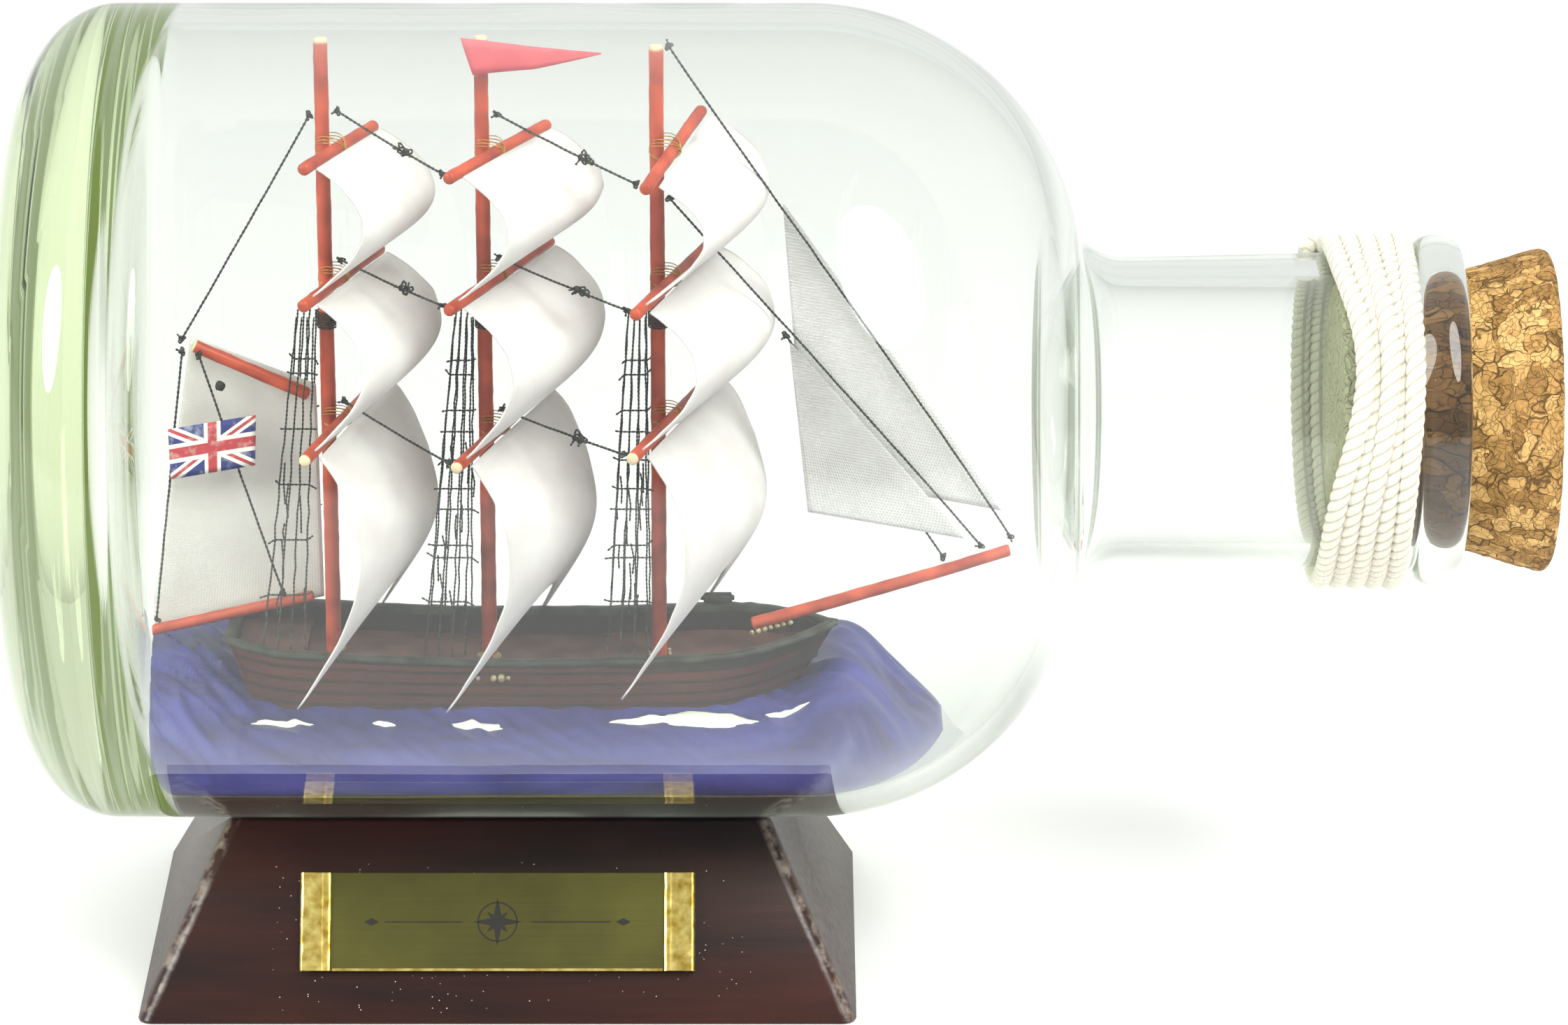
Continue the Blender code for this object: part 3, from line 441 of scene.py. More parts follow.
def bottle_outline():
    corner = (BASE_X + BASE_CORNER_LENGTH, BASE_FLAT_RADIUS)
    outside = [(BASE_X, 0), (BASE_X, BASE_FLAT_RADIUS / 2)]
    outside += arc(corner, (BASE_CORNER_LENGTH, BOTTLE_RADIUS - BASE_FLAT_RADIUS), 180, 90, 20)
    outside += shoulder(0)
    outside.append((LIP_START_X, neck_radius_at(LIP_START_X)))
    lip = ((LIP_START_X + LIP_END_X) / 2, LIP_RADIUS - LIP_ROUND)
    outside += arc(lip, ((LIP_END_X - LIP_START_X) / 2, LIP_ROUND), 165, 0, 12)
    bore = [(LIP_END_X - 0.4 * MM, 13.2 * MM), (50.5 * MM, 12.4 * MM)]
    cavity = arc((FLOOR_X + CAVITY_CORNER, INNER_RADIUS - CAVITY_CORNER), (CAVITY_CORNER,) * 2, 90, 180, 12)
    # The floor bulges into the bottle a little, as a pushed-up base does.
    floor_rise = [(FLOOR_X + 0.7 * MM * (1 - t * t), t * cavity[-1][1]) for t in (0.75, 0.5, 0.25, 0.0)]
    return with_margins(outside + bore + shoulder(WALL)[::-1] + cavity + floor_rise, 0.3 * MM)


# %% Turn the bottle
def build_bottle():
    profile = line_mesh("bottle_outline", [[(r, -x, 0) for x, r in bottle_outline()]])
    bottle = grow("blown_bottle", lathe_tree, profile, clear_glass_finish(), Segments=256)
    mesh = bottle.data
    mesh.transform(Matrix.Translation((0, 0, AXIS_Z)) @ Matrix.Rotation(math.pi / 2, 4, "Y"))
    bm = bmesh.new()
    bm.from_mesh(mesh)
    bmesh.ops.remove_doubles(bm, verts=bm.verts, dist=5e-6)
    bmesh.ops.recalc_face_normals(bm, faces=bm.faces)
    open_edges = sum(not edge.is_manifold for edge in bm.edges)
    bm.to_mesh(mesh)
    bm.free()
    mesh.shade_smooth()
    print("bottle faces", len(mesh.polygons), "open edges", open_edges)
    return settle(bottle, "clear_glass", "glass_bottle")


build_bottle()

# %% [markdown]
# ## The cork
# The stopper is agglomerated cork: ground cork granules 1 to 3 mm across, pressed and glued. Its colour
# changes from granule to granule, with dark crevices between them. A cell pattern gives each granule its
# own tan, the distance to a cell's edge gives the crevices, and the same distance raises the surface so
# that the light picks the granules out. A noise of finer grain adds the pores.

# %% Cork finish and stopper
def cork_finish():
    material, tree, shader = new_finish("agglomerated_cork", "#B0854E", 0.82, Specular_IOR_Level=0.25)
    coords = add(tree, "TexCoord").outputs["Object"]
    warp = add(tree, "TexNoise", {"Scale": 420.0, "Detail": 2.0, "Vector": coords})
    bent = add(tree, "Mix",
               {"data_type": "RGBA", "blend_type": "LINEAR_LIGHT", 0: 0.0016, 6: coords,
                7: warp.outputs["Color"]})
    cell = {"Scale": 1 / (1.6 * MM)}
    granule = add(tree, "TexVoronoi", {**cell, "Vector": bent})
    crevice = add(tree, "TexVoronoi", {"feature": "DISTANCE_TO_EDGE", **cell, "Vector": bent})
    pores = add(tree, "TexVoronoi", {"feature": "DISTANCE_TO_EDGE", "Scale": 1 / (0.75 * MM), "Vector": bent})
    tone = add(tree, "ValToRGB", {"Fac": granule.outputs["Color"]})
    ramp = tone.color_ramp
    ramp.elements[0].position = 0.25
    ramp.elements[0].color = linear("#94703D")
    ramp.elements[1].position = 0.8
    ramp.elements[1].color = linear("#D0A869")
    ramp.elements.new(0.5).color = linear("#B48B50")
    grain = add(tree, "TexNoise", {"Scale": 1900.0, "Detail": 4.0, "Vector": coords})
    grained = add(tree, "Mix",
                  {"data_type": "RGBA", "blend_type": "OVERLAY", 0: 0.6, 6: tone, 7: grain.outputs["Fac"]})
    # Granules are pressed tight in most places, so a crevice opens only here and there.
    open_here = add(tree, "TexNoise", {"Scale": 520.0, "Detail": 2.0, "Vector": coords})
    width = add(tree, "MapRange",
                {"From Min": 0.45, "From Max": 0.68, "To Min": 0.006, "To Max": 0.12,
                 "Value": open_here.outputs["Fac"]})
    dark = add(tree, "MapRange", {"Value": crevice.outputs["Distance"], "From Max": width})
    speck = add(tree, "MapRange", {"From Max": 0.05, "To Min": 0.55, "Value": pores.outputs["Distance"]})
    both = add(tree, "Math", {"operation": "MULTIPLY", 0: dark, 1: speck})
    shade = add(tree, "Mix", {"data_type": "RGBA", 6: linear("#5E4526"), 0: both, 7: grained})
    # Inside the neck the cork is darkened with a painted shade, and its inner end is lightened to a pale
    # olive with painted light.
    place = add(tree, "SeparateXYZ", {"Vector": coords}).outputs["X"]
    neck_shade_mask = add(tree, "MapRange", {"From Min": 61.9 * MM, "From Max": 61.4 * MM, "Value": place})
    pressed = add(tree, "Mix",
                  {"data_type": "RGBA", "blend_type": "MULTIPLY", 7: linear("#8F8074"), 0: neck_shade_mask, 6: shade})
    inner = add(tree, "MapRange", {"From Min": 52.6 * MM, "From Max": 51.6 * MM, "Value": place})
    lit_inner_end = add(tree, "Mix", {"data_type": "RGBA", 7: linear("#B7B698"), 0: inner, 6: pressed})
    raised = add(tree, "Bump", {"Strength": 0.9, "Distance": 0.25 * MM, "Height": both})
    feed(shader, {"Base Color": lit_inner_end, "Normal": raised})
    return material


def turned_rings(profile, sides):
    """Points of rings about the bottle's axis, from (x, r) pairs."""
    points = []
    for x, radius in profile:
        for i in range(sides):
            angle = 2 * math.pi * i / sides
            points.append(inside(x, radius * math.cos(angle), radius * math.sin(angle)))
    return points


def build_cork():
    inner_x, outer_x = [corner[0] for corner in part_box("cork_stopper")]
    step = 0.3 * MM
    start_r = 12.05 * MM
    outer_r = 14.95 * MM
    profile = [(inner_x, 0.02 * MM), (inner_x, start_r * 0.5), (inner_x, start_r - 0.6 * MM)]
    profile += arc((inner_x + 0.6 * MM, start_r - 0.6 * MM), (0.6 * MM, 0.6 * MM), 180, 90, 4)[1:]
    seat_x = LIP_END_X
    reach = outer_x - 1.1 * MM - seat_x
    profile.append((seat_x, 12.85 * MM))
    steps = int(reach / step)
    for i in range(1, steps):
        t = i / steps
        profile.append((seat_x + reach * t, 12.85 * MM + (outer_r - 12.85 * MM) * t))
    profile += arc((outer_x - 1.1 * MM, outer_r - 1.1 * MM), (1.1 * MM, 1.1 * MM), 80, 0, 6)
    profile += [(outer_x, r * outer_r) for r in (0.88, 0.8, 0.7, 0.6, 0.5, 0.4, 0.3, 0.2, 0.1, 0.002)]
    points = turned_rings(profile, 120)
    middle = inside(0, 0, 0)
    for i, point in enumerate(points):
        if point.x > seat_x + 0.5 * MM:
            # Pits and torn granules, up to 0.25 mm deep.
            pit = noise.noise(point / (1.1 * MM)) + 0.6 * noise.noise(point / (0.5 * MM))
            depth = 0.16 * MM * min(pit, 0.25) - 0.05 * MM
            aside = Vector((0, point.y - middle.y, point.z - middle.z)).normalized()
            if point.x > outer_x - 0.1 * MM:
                points[i] = point + Vector((min(depth, 0), 0, 0))
            else:
                points[i] = point + aside * depth
    faces = ring_faces(len(profile), 120)
    cork = new_piece("pressed_cork_stopper", points, faces, cork_finish(), sharp=80)
    print("cork from", round(inner_x / MM, 1), "to", round(outer_x / MM, 1), "mm")
    return settle(cork, "cork", "cork_stopper", body=CORK)


build_cork()

# %% [markdown]
# ## The cord round the neck
# A soft cotton cord of three twisted strands is wound round the neck, about five turns, and its turns draw
# together on the side that faces the viewer, where they cross into a waist. The cord could be a smooth tube
# with a twist painted on, but its outline would stay straight. So its section has three lobes that turn as
# the section travels along the helix, one full turn every 5 mm.

# %% Cotton finish
CORD_DIAMETER = 1.9 * MM
STRAND_TWIST = 3.6 * MM


def cotton_finish():
    material, tree, shader = new_finish("twisted_cotton_cord", "#ECE8DA", 0.95, Sheen_Weight=0.2)
    coords = add(tree, "TexCoord").outputs["UV"]
    # Three strands are twisted together. A groove between two of them is where the cosine is near zero, and
    # the groove is darkened there with a painted shade.
    place = add(tree, "SeparateXYZ", {"Vector": coords})
    along = add(tree, "Math", {"operation": "MULTIPLY", 1: 3 * math.pi / STRAND_TWIST, 0: place.outputs["X"]})
    round_it = add(tree, "Math",
                   {"operation": "MULTIPLY_ADD", 1: -3 / CORD_DIAMETER, 0: place.outputs["Y"], 2: along})
    wave = add(tree, "Math", {"operation": "COSINE", 0: round_it})
    ridge = add(tree, "Math", {"operation": "ABSOLUTE", 0: wave})
    shadow = add(tree, "MapRange", {"From Min": 0.0, "From Max": 0.45, "Value": ridge})
    # Fibres lie along each strand, about 0.12 mm apart.
    long_way = add(tree, "Mapping", {"Scale": (900.0, 5200.0, 1.0), "Vector": coords})
    fibres = add(tree, "TexNoise", {"Scale": 1.0, "Detail": 3.0, "Vector": long_way})
    shade = add(tree, "Mix",
                {"data_type": "RGBA", 6: linear("#CDC8B6"), 7: linear("#EEEBE0"), 0: fibres.outputs["Fac"]})
    groove_shaded = add(tree, "Mix", {"data_type": "RGBA", 6: linear("#B9B29A"), 0: shadow, 7: shade})
    fuzz = add(tree, "Bump", {"Strength": 0.8, "Distance": 0.15 * MM, "Height": fibres.outputs["Fac"]})
    feed(shader, {"Base Color": groove_shaded, "Normal": fuzz})
    return material


# %% Wind the cord
CORD_TURNS = 5
CORD_FIRST_X = 48.6 * MM
CORD_PITCH = 1.62 * MM
WAIST_ANGLE = math.radians(32)  # above the horizontal, on the near side


def cord_point(turn):
    """Middle of the cord after that many turns, starting on the far side at the top."""
    angle = math.radians(60) - 2 * math.pi * turn
    off_waist = (angle - (math.pi - WAIST_ANGLE) + math.pi) % (2 * math.pi) - math.pi
    waist = math.exp(-((off_waist / 0.62) ** 2))
    x = CORD_FIRST_X + CORD_PITCH * turn + (2.9 * MM - 0.5 * MM * turn) * waist
    lift = 0.85 * MM * waist * (0.5 - 0.5 * math.cos(math.pi * turn + 0.6))
    radius = neck_radius_at(x) + CORD_DIAMETER / 2 + 0.05 * MM + lift
    return inside(x, radius * math.cos(angle), radius * math.sin(angle))


def build_neck_cord():
    count = 340 * CORD_TURNS
    path = [cord_point(CORD_TURNS * i / (count - 1)) for i in range(count)]
    section = 18
    points = []
    uv = []
    length = 0.0
    for i, point in enumerate(path):
        ahead = path[min(i + 1, count - 1)] - path[max(i - 1, 0)]
        tangent = ahead.normalized()
        out = Vector((0, point.y, point.z - AXIS_Z)).normalized()
        side = tangent.cross(out).normalized()
        length += (point - path[i - 1]).length if i else 0.0
        for k in range(section):
            angle = 2 * math.pi * k / section
            lobe = 0.76 + 0.24 * abs(math.cos(1.5 * (angle - 2 * math.pi * length / STRAND_TWIST))) ** 0.6
            ravel = 1 + 0.05 * noise.noise(point / (0.9 * MM) + Vector((angle, 0, 0)))
            radius = CORD_DIAMETER / 2 * lobe * ravel
            points.append(point - (out * math.cos(angle) + side * math.sin(angle)) * radius)
            uv.append((length, angle / (2 * math.pi) * math.pi * CORD_DIAMETER))
    cord = new_piece("neck_winding", points, ring_faces(count, section), cotton_finish(), 80, uv)
    settle(cord, "ivory_cotton", "neck_cord")
    print("neck cord", round(length / MM), "mm long in", CORD_TURNS, "turns")


build_neck_cord()

# %% [markdown]
# ## The cradle block
# The stand is a block of hardwood, stained nearly black like mahogany and lacquered. Its long edges are
# worn pale where hands pick it up, and the same pale paint stands in for a highlight along them. The
# imported block has the right shape but razor edges, so a copy of it is merged, its flat faces are joined
# again, and a bevel rounds every edge by half a millimetre. Light catches such an edge, and that thin
# bright line does more for the look than any texture.

# %% Lacquered mahogany and the block
STAND_LOW, STAND_HIGH = [Vector(corner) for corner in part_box("stand_block")]
STAND_MIDDLE_X = (STAND_LOW.x + STAND_HIGH.x) / 2
STAND_HALF_X = (STAND_HIGH.x - STAND_LOW.x) / 2
STAND_HALF_Y = (STAND_HIGH.y - STAND_LOW.y) / 2


def mahogany_finish():
    material, tree, shader = new_finish("lacquered_mahogany", "#2B140D", 0.34, Coat_Roughness=0.22)
    coords = add(tree, "TexCoord").outputs["Object"]
    # Pores run along the block: about 0.3 mm apart across the grain and 12 mm long.
    along = add(tree, "Mapping", {"Scale": (90.0, 1500.0, 1500.0), "Vector": coords})
    pores = add(tree, "TexNoise", {"Scale": 1.0, "Detail": 4.0, "Vector": along})
    wide = add(tree, "Mapping", {"Scale": (25.0, 160.0, 160.0), "Vector": coords})
    figure = add(tree, "TexNoise", {"Scale": 1.0, "Detail": 3.0, "Vector": wide})
    tone = add(tree, "ValToRGB", {"Fac": figure.outputs["Fac"]})
    tone.color_ramp.elements[0].position = 0.32
    tone.color_ramp.elements[0].color = linear("#1E0E09")
    tone.color_ramp.elements[1].position = 0.72
    tone.color_ramp.elements[1].color = linear("#431B0F")
    grained = add(tree, "Mix",
                  {"data_type": "RGBA", "blend_type": "MULTIPLY", 0: 0.6, 6: tone, 7: pores.outputs["Fac"]})
    # The end faces show cut fibre under thin lacquer, which looks grey. Their grey is also a painted sheen
    # that stands in for the reflection they are not given.
    normal = add(tree, "NewGeometry").outputs["True Normal"]
    parts = add(tree, "SeparateXYZ", {"Vector": normal})
    size = add(tree, "Math", {"operation": "ABSOLUTE", 0: parts.outputs["X"]})
    is_end = add(tree, "MapRange", {"From Min": 0.6, "From Max": 0.85, "Value": size})
    end_grey_and_sheen = add(tree, "Mix",
                    {"data_type": "RGBA", 6: linear("#2B2421"), 7: linear("#6E6561"),
                     0: pores.outputs["Fac"]})
    # Sanded end grain drinks the lacquer, so the ends shine far less than the long faces.
    shine = add(tree, "MapRange", {"To Min": 0.3, "To Max": 0.05, "Value": is_end})
    feed(shader, {"Specular IOR Level": shine})
    lacquer = add(tree, "MapRange", {"To Min": 0.2, "To Max": 0.0, "Value": is_end})
    feed(shader, {"Coat Weight": lacquer})
    faces = add(tree, "Mix", {"data_type": "RGBA", 0: is_end, 6: grained, 7: end_grey_and_sheen})
    # Wear and painted highlight: along the slanting corner edges the stain is rubbed through, and the pale
    # paint there also stands in for the light the edges catch. The distance from a corner is the larger of
    # the distances from the end face and from the front or back face.
    spot = add(tree, "SeparateXYZ", {"Vector": coords})
    from_middle = add(tree, "Math", {"operation": "SUBTRACT", 1: STAND_MIDDLE_X, 0: spot.outputs["X"]})
    away = []
    sides = ((from_middle, STAND_HALF_X, 0.5), (spot.outputs["Y"], STAND_HALF_Y, 0.6))
    for place, half, slope in sides:
        size = add(tree, "Math", {"operation": "ABSOLUTE", 0: place})
        lean = add(tree, "Math", {"operation": "MULTIPLY_ADD", 1: slope, 0: spot.outputs["Z"], 2: size})
        away.append(add(tree, "Math", {"operation": "SUBTRACT", 0: half, 1: lean}))
    corner = add(tree, "Math", {"operation": "MAXIMUM", 0: away[0], 1: away[1]})
    near_corner = add(tree, "MapRange", {"From Min": 1.3 * MM, "From Max": 0.3 * MM, "Value": corner})
    rub = add(tree, "TexNoise", {"Scale": 700.0, "Detail": 4.0, "Vector": coords})
    patchy = add(tree, "MapRange", {"From Min": 0.44, "From Max": 0.60, "Value": rub.outputs["Fac"]})
    worn = add(tree, "Math", {"operation": "MULTIPLY", 0: near_corner, 1: patchy})
    wear_and_highlight = add(tree, "Mix", {"data_type": "RGBA", 7: linear("#93867A"), 0: worn, 6: faces})
    raised = add(tree, "Bump", {"Strength": 0.25, "Distance": 0.06 * MM, "Height": pores.outputs["Fac"]})
    feed(shader, {"Base Color": wear_and_highlight, "Normal": raised})
    return material


EDGE_ROUND = 0.55 * MM


def build_stand():
    bm = bmesh.new()
    bm.from_mesh(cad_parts["stand_block"].data)
    bmesh.ops.remove_doubles(bm, verts=bm.verts, dist=1e-5)
    bmesh.ops.dissolve_limit(bm, angle_limit=math.radians(2), verts=bm.verts, edges=bm.edges)
    sharp = [edge for edge in bm.edges if edge.is_manifold and edge.calc_face_angle() > math.radians(24)]
    bmesh.ops.bevel(bm, geom=sharp, offset=EDGE_ROUND, segments=3, profile=0.5, affect="EDGES",
                    clamp_overlap=True)
    mesh = bpy.data.meshes.new("cradle_block")
    bm.to_mesh(mesh)
    bm.free()
    mesh.materials.append(mahogany_finish())
    mesh.shade_smooth()
    mesh.set_sharp_from_angle(angle=math.radians(32))
    stand = put("cradle_block", mesh)
    print("stand faces", len(mesh.polygons))
    return settle(stand, "mahogany_lacquer", "stand_block")


stand = build_stand()

# %% [markdown]
# ## Dust
# The lacquer holds white specks of dust and dried glue, most of them along the line where bottle and block
# meet. They are small lumps strewn by a Geometry Nodes tree, with a fixed seed, over the front of the block.

# %% Dust and glue specks
dust_finish, _, _ = new_finish("dried_glue_dust", "#CFC9BE", 0.9)


def band_between(name, corners):
    mesh = bpy.data.meshes.new(name)
    mesh.from_pydata([tuple(corner) for corner in corners], [], [tuple(range(len(corners)))])
    return mesh


def build_dust():
    low, high = [Vector(corner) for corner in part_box("stand_block")]
    lift = 0.02 * MM

    def on_front(x, z):
        return Vector((x, low.y + 0.6 * z - lift, z))

    front = [on_front(low.x + 9 * MM, 1 * MM), on_front(high.x - 9 * MM, 1 * MM)]
    front += [on_front(high.x - 12 * MM, 13 * MM), on_front(low.x + 12 * MM, 13 * MM)]
    source = band_between("front_band", front)
    specks = grow("lacquer_dust", strew_tree, source, dust_finish, Count_per_m2=260000.0,
                  Lump_Radius=0.07 * MM, Seed=3)
    settle(specks, "mahogany_lacquer")
    print("specks", len(specks.data.polygons) // 20)


build_dust()

# %% [markdown]
# ## The plate
# The plate is thin brass sheet with a matte olive-gold lacquer on its field. Its two ends are folded back
# over the front, and the folds are rubbed bright and crinkled. The section is drawn once, as an outline
# along the plate, and pushed across its width. A compass star between two rules decorates the field.

# %% Brass finishes
def field_finish():
    material, tree, shader = new_finish("matte_lacquered_brass", "#66602C", 0.42, Metallic=0.7)
    coords = add(tree, "TexCoord").outputs["Object"]
    brushed = add(tree, "Mapping", {"Scale": (60.0, 2500.0, 2500.0), "Vector": coords})
    lines = add(tree, "TexNoise", {"Scale": 1.0, "Detail": 2.0, "Vector": brushed})
    cloud = add(tree, "TexNoise", {"Scale": 110.0, "Detail": 3.0, "Vector": coords})
    shade = add(tree, "Mix",
                {"data_type": "RGBA", 6: linear("#3E3D1F"), 7: linear("#6B6632"), 0: cloud.outputs["Fac"]})
    raised = add(tree, "Bump", {"Strength": 0.5, "Distance": 0.04 * MM, "Height": lines.outputs["Fac"]})
    feed(shader, {"Base Color": shade, "Normal": raised})
    return material


def fold_finish():
    material, tree, shader = new_finish("rubbed_bright_brass", "#D6B24A", 0.28, Metallic=0.9)
    coords = add(tree, "TexCoord").outputs["Object"]
    wear = add(tree, "TexNoise", {"Scale": 900.0, "Detail": 5.0, "Vector": coords})
    tone = add(tree, "ValToRGB", {"Fac": wear.outputs["Fac"]})
    tone.color_ramp.elements[0].position = 0.3
    tone.color_ramp.elements[0].color = linear("#B08C2C")
    tone.color_ramp.elements[1].position = 0.62
    tone.color_ramp.elements[1].color = linear("#F0DC84")
    crinkle = add(tree, "Bump", {"Strength": 0.5, "Distance": 0.08 * MM, "Height": wear.outputs["Fac"]})
    feed(shader, {"Base Color": tone, "Normal": crinkle})
    return material


FIELD = field_finish()
FOLD = fold_finish()
ENAMEL, _, _ = new_finish("dark_brown_enamel_print", "#17130D", 0.5)

# %% Plate
FACE_LEAN = math.atan(0.60)
PLATE_LENGTH = 36.4 * MM
PLATE_WIDTH = 9.1 * MM
PLATE_THICKNESS = 0.4 * MM
FOLD_WIDTH = 2.8 * MM


def plate_place():
    """The matrix that lays a plate drawn in the XZ plane on the block's sloping front."""
    low, high = [Vector(corner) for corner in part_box("nameplate")]
    stand_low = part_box("stand_block")[0]
    height = (low.z + high.z) / 2 - 0.1 * MM
    front = stand_low[1] + 0.60 * height
    move = Matrix.Translation(((low.x + high.x) / 2, front, height))
    return move @ Matrix.Rotation(-FACE_LEAN, 4, "X")


def extruded(name, outline, depth_from, depth_to, material, matrix, sharp=30):
    """A flat outline of (x, z) points standing in the XZ plane, filled and given depth along Y."""
    count = len(outline)
    points = [matrix @ Vector((x, y, z)) for y in (depth_from, depth_to) for x, z in outline]
    faces = [tuple(range(count)), tuple(range(count, 2 * count))[::-1]]
    faces += [(i, (i + 1) % count, count + (i + 1) % count, count + i) for i in range(count)]
    return new_piece(name, points, faces, material, sharp)


def plate_section():
    """Half of the plate's front, from its end inwards, as (distance from the end, height)."""
    roll = 0.32 * MM
    points = [(0.0, 0.05 * MM)]
    for a in (0.0, 0.5, 1.0, math.pi / 2):
        points.append((roll - roll * math.cos(a), (0.3 + 0.42 * math.sin(a)) * MM))
    points += [(1.4 * MM, 0.64 * MM), (2.0 * MM, 0.6 * MM), (2.15 * MM, 0.72 * MM), (2.3 * MM, 0.6 * MM)]
    points += [(2.5 * MM, 0.6 * MM), (2.62 * MM, 0.7 * MM)]
    points += [(FOLD_WIDTH, 0.62 * MM), (FOLD_WIDTH, PLATE_THICKNESS)]
    return points


def build_plate():
    place = plate_place()
    gap = 0.2 * MM
    half = PLATE_LENGTH / 2
    rim = 0.12 * MM
    field = [(-half + 1 * MM, -PLATE_WIDTH / 2), (half - 1 * MM, -PLATE_WIDTH / 2)]
    field += [(half - 1 * MM, PLATE_WIDTH / 2), (-half + 1 * MM, PLATE_WIDTH / 2)]
    sheet = extruded("plate_field", field, -gap, -gap - PLATE_THICKNESS, FIELD, place)
    settle(sheet, "brass", "nameplate")
    for side, label in ((-1, "left"), (1, "right")):
        section = [(side * (half - away), -gap - height) for away, height in plate_section()]
        section = [(side * (half - 0.1 * MM), -gap)] + section + [(side * (half - FOLD_WIDTH), -gap)]
        rows = 14
        points = []
        for j in range(rows):
            z = PLATE_WIDTH * (j / (rows - 1) - 0.5)
            for x, y in section:
                dent = 0.05 * MM * noise.noise(Vector((x, 0, z)) / (0.9 * MM)) if y < -gap - 0.3 * MM else 0.0
                points.append(place @ Vector((x + dent, y + dent, z)))
        fold = new_piece(f"plate_{label}_fold", points, ring_faces(rows, len(section)), FOLD, 25)
        settle(fold, "brass")
    low_rule = [(-half + 3 * MM, -PLATE_WIDTH / 2), (half - 3 * MM, -PLATE_WIDTH / 2)]
    low_rule += [(half - 3 * MM, -PLATE_WIDTH / 2 + 2 * rim), (-half + 3 * MM, -PLATE_WIDTH / 2 + 2 * rim)]
    level = -gap - PLATE_THICKNESS
    settle(extruded("plate_bright_edge", low_rule, level, level - 0.05 * MM, FOLD, place), "brass")
    return place, level


def star_outline(points, long_radius, short_radius, turn=0.0):
    outline = []
    for i in range(2 * points):
        angle = math.pi * i / points + turn
        radius = short_radius if i % 2 else long_radius
        outline.append((radius * math.sin(angle), radius * math.cos(angle)))
    return outline


def build_plate_print(place, level):
    """A compass star in a ring, with a rule and a lozenge on each side: decoration with no lettering."""
    top = level - 0.02 * MM
    star = star_outline(4, 2.3 * MM, 0.55 * MM)
    small_star = star_outline(4, 1.35 * MM, 0.45 * MM, math.pi / 4)
    shapes = {"compass_long_points": (star, 0.0), "compass_short_points": (small_star, 0.004 * MM)}
    for name, (outline, sink) in shapes.items():
        settle(extruded(name, outline, level + 0.01 * MM, top + sink, ENAMEL, place), "brass")
    ring_points = []
    sides = 48
    for radius in (1.72 * MM, 1.86 * MM):
        for y in (level + 0.01 * MM, top):
            for i in range(sides):
                angle = 2 * math.pi * i / sides
                ring_points.append(place @ Vector((radius * math.cos(angle), y, radius * math.sin(angle))))
    faces = []
    for one, other in ((0, 1), (1, 3), (3, 2), (2, 0)):
        for i in range(sides):
            j = (i + 1) % sides
            faces.append((one * sides + i, one * sides + j, other * sides + j, other * sides + i))
    settle(new_piece("compass_ring", ring_points, faces, ENAMEL), "brass")
    for side, label in ((-1, "left"), (1, "right")):
        inner, outer, tip = [side * value * MM for value in (3.2, 10.4, 0.0)]
        rule = [(inner, -0.06 * MM), (outer, -0.06 * MM), (outer, 0.06 * MM), (inner, 0.06 * MM)]
        settle(extruded(f"{label}_rule", rule, level + 0.01 * MM, top, ENAMEL, place), "brass")
        middle = side * 11.6 * MM
        lozenge = [(middle - 0.7 * MM, tip), (middle, 0.35 * MM)]
        lozenge += [(middle + 0.7 * MM, tip), (middle, -0.35 * MM)]
        settle(extruded(f"{label}_lozenge", lozenge, level + 0.01 * MM, top, ENAMEL, place), "brass")


build_plate_print(*build_plate())
print("plate length", PLATE_LENGTH / MM, "mm")

# %% [markdown]
# ## The sea
# The sea is modelling putty, coloured indigo and pressed into the bottle. Where it lies against the glass
# it is flat and smooth. On top it is pulled into waves, with sharp folds at the stern and the bow. Its
# shape is a row of sections: each runs over the waves from glass to glass and back along the wall. The
# waves come from a height rule with two swells and a turbulence that is stretched along the folds.

# %% Putty finish
def putty_finish():
    material, tree, shader = new_finish("indigo_modelling_putty", "#4B4C8A", 0.42, Specular_IOR_Level=0.45)
    coords = add(tree, "TexCoord").outputs["Object"]
    smear = add(tree, "Mapping", {"Scale": (55.0, 190.0, 190.0), "Vector": coords})
    streaks = add(tree, "TexNoise", {"Scale": 1.0, "Detail": 4.0, "Distortion": 0.6, "Vector": smear})
    tone = add(tree, "ValToRGB", {"Fac": streaks.outputs["Fac"]})
    tone.color_ramp.elements[0].position = 0.28
    tone.color_ramp.elements[0].color = linear("#232455")
    tone.color_ramp.elements[1].position = 0.78
    tone.color_ramp.elements[1].color = linear("#4A4C93")
    tone.color_ramp.elements.new(0.52).color = linear("#34367A")
    # Low on the wall, where the putty is thin, it is lightened to lavender with painted light from below.
    height = add(tree, "SeparateXYZ", {"Vector": coords})
    low = add(tree, "MapRange", {"From Min": 22.5 * MM, "From Max": 17.0 * MM, "Value": height.outputs["Z"]})
    lavender_light = add(tree, "Mix", {"data_type": "RGBA", 7: linear("#6465A4"), 0: low, 6: tone})
    fine = add(tree, "TexNoise", {"Scale": 900.0, "Detail": 4.0, "Vector": coords})
    raised = add(tree, "Bump", {"Strength": 0.35, "Distance": 0.12 * MM, "Height": fine.outputs["Fac"]})
    feed(shader, {"Base Color": lavender_light, "Normal": raised})
    return material


# %% Sea
WATERLINE = -29.0 * MM
SEA_LEFT_X, SEA_RIGHT_X = [corner[0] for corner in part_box("sea")]
SEA_ROUND = 17.0 * MM


def wall_radius(x):
    """The radius of the bottle's inside, from its floor to its shoulder, less a hair."""
    if x < FLOOR_X + CAVITY_CORNER:
        reach = FLOOR_X + CAVITY_CORNER - x
        radius = INNER_RADIUS - CAVITY_CORNER + math.sqrt(max(CAVITY_CORNER**2 - reach**2, 0))
    elif x > SHOULDER_X:
        inner = SHOULDER_ROUND - WALL
        radius = BOTTLE_RADIUS - SHOULDER_ROUND + math.sqrt(inner**2 - (x - SHOULDER_X) ** 2)
    else:
        radius = INNER_RADIUS
    return radius - 0.2 * MM


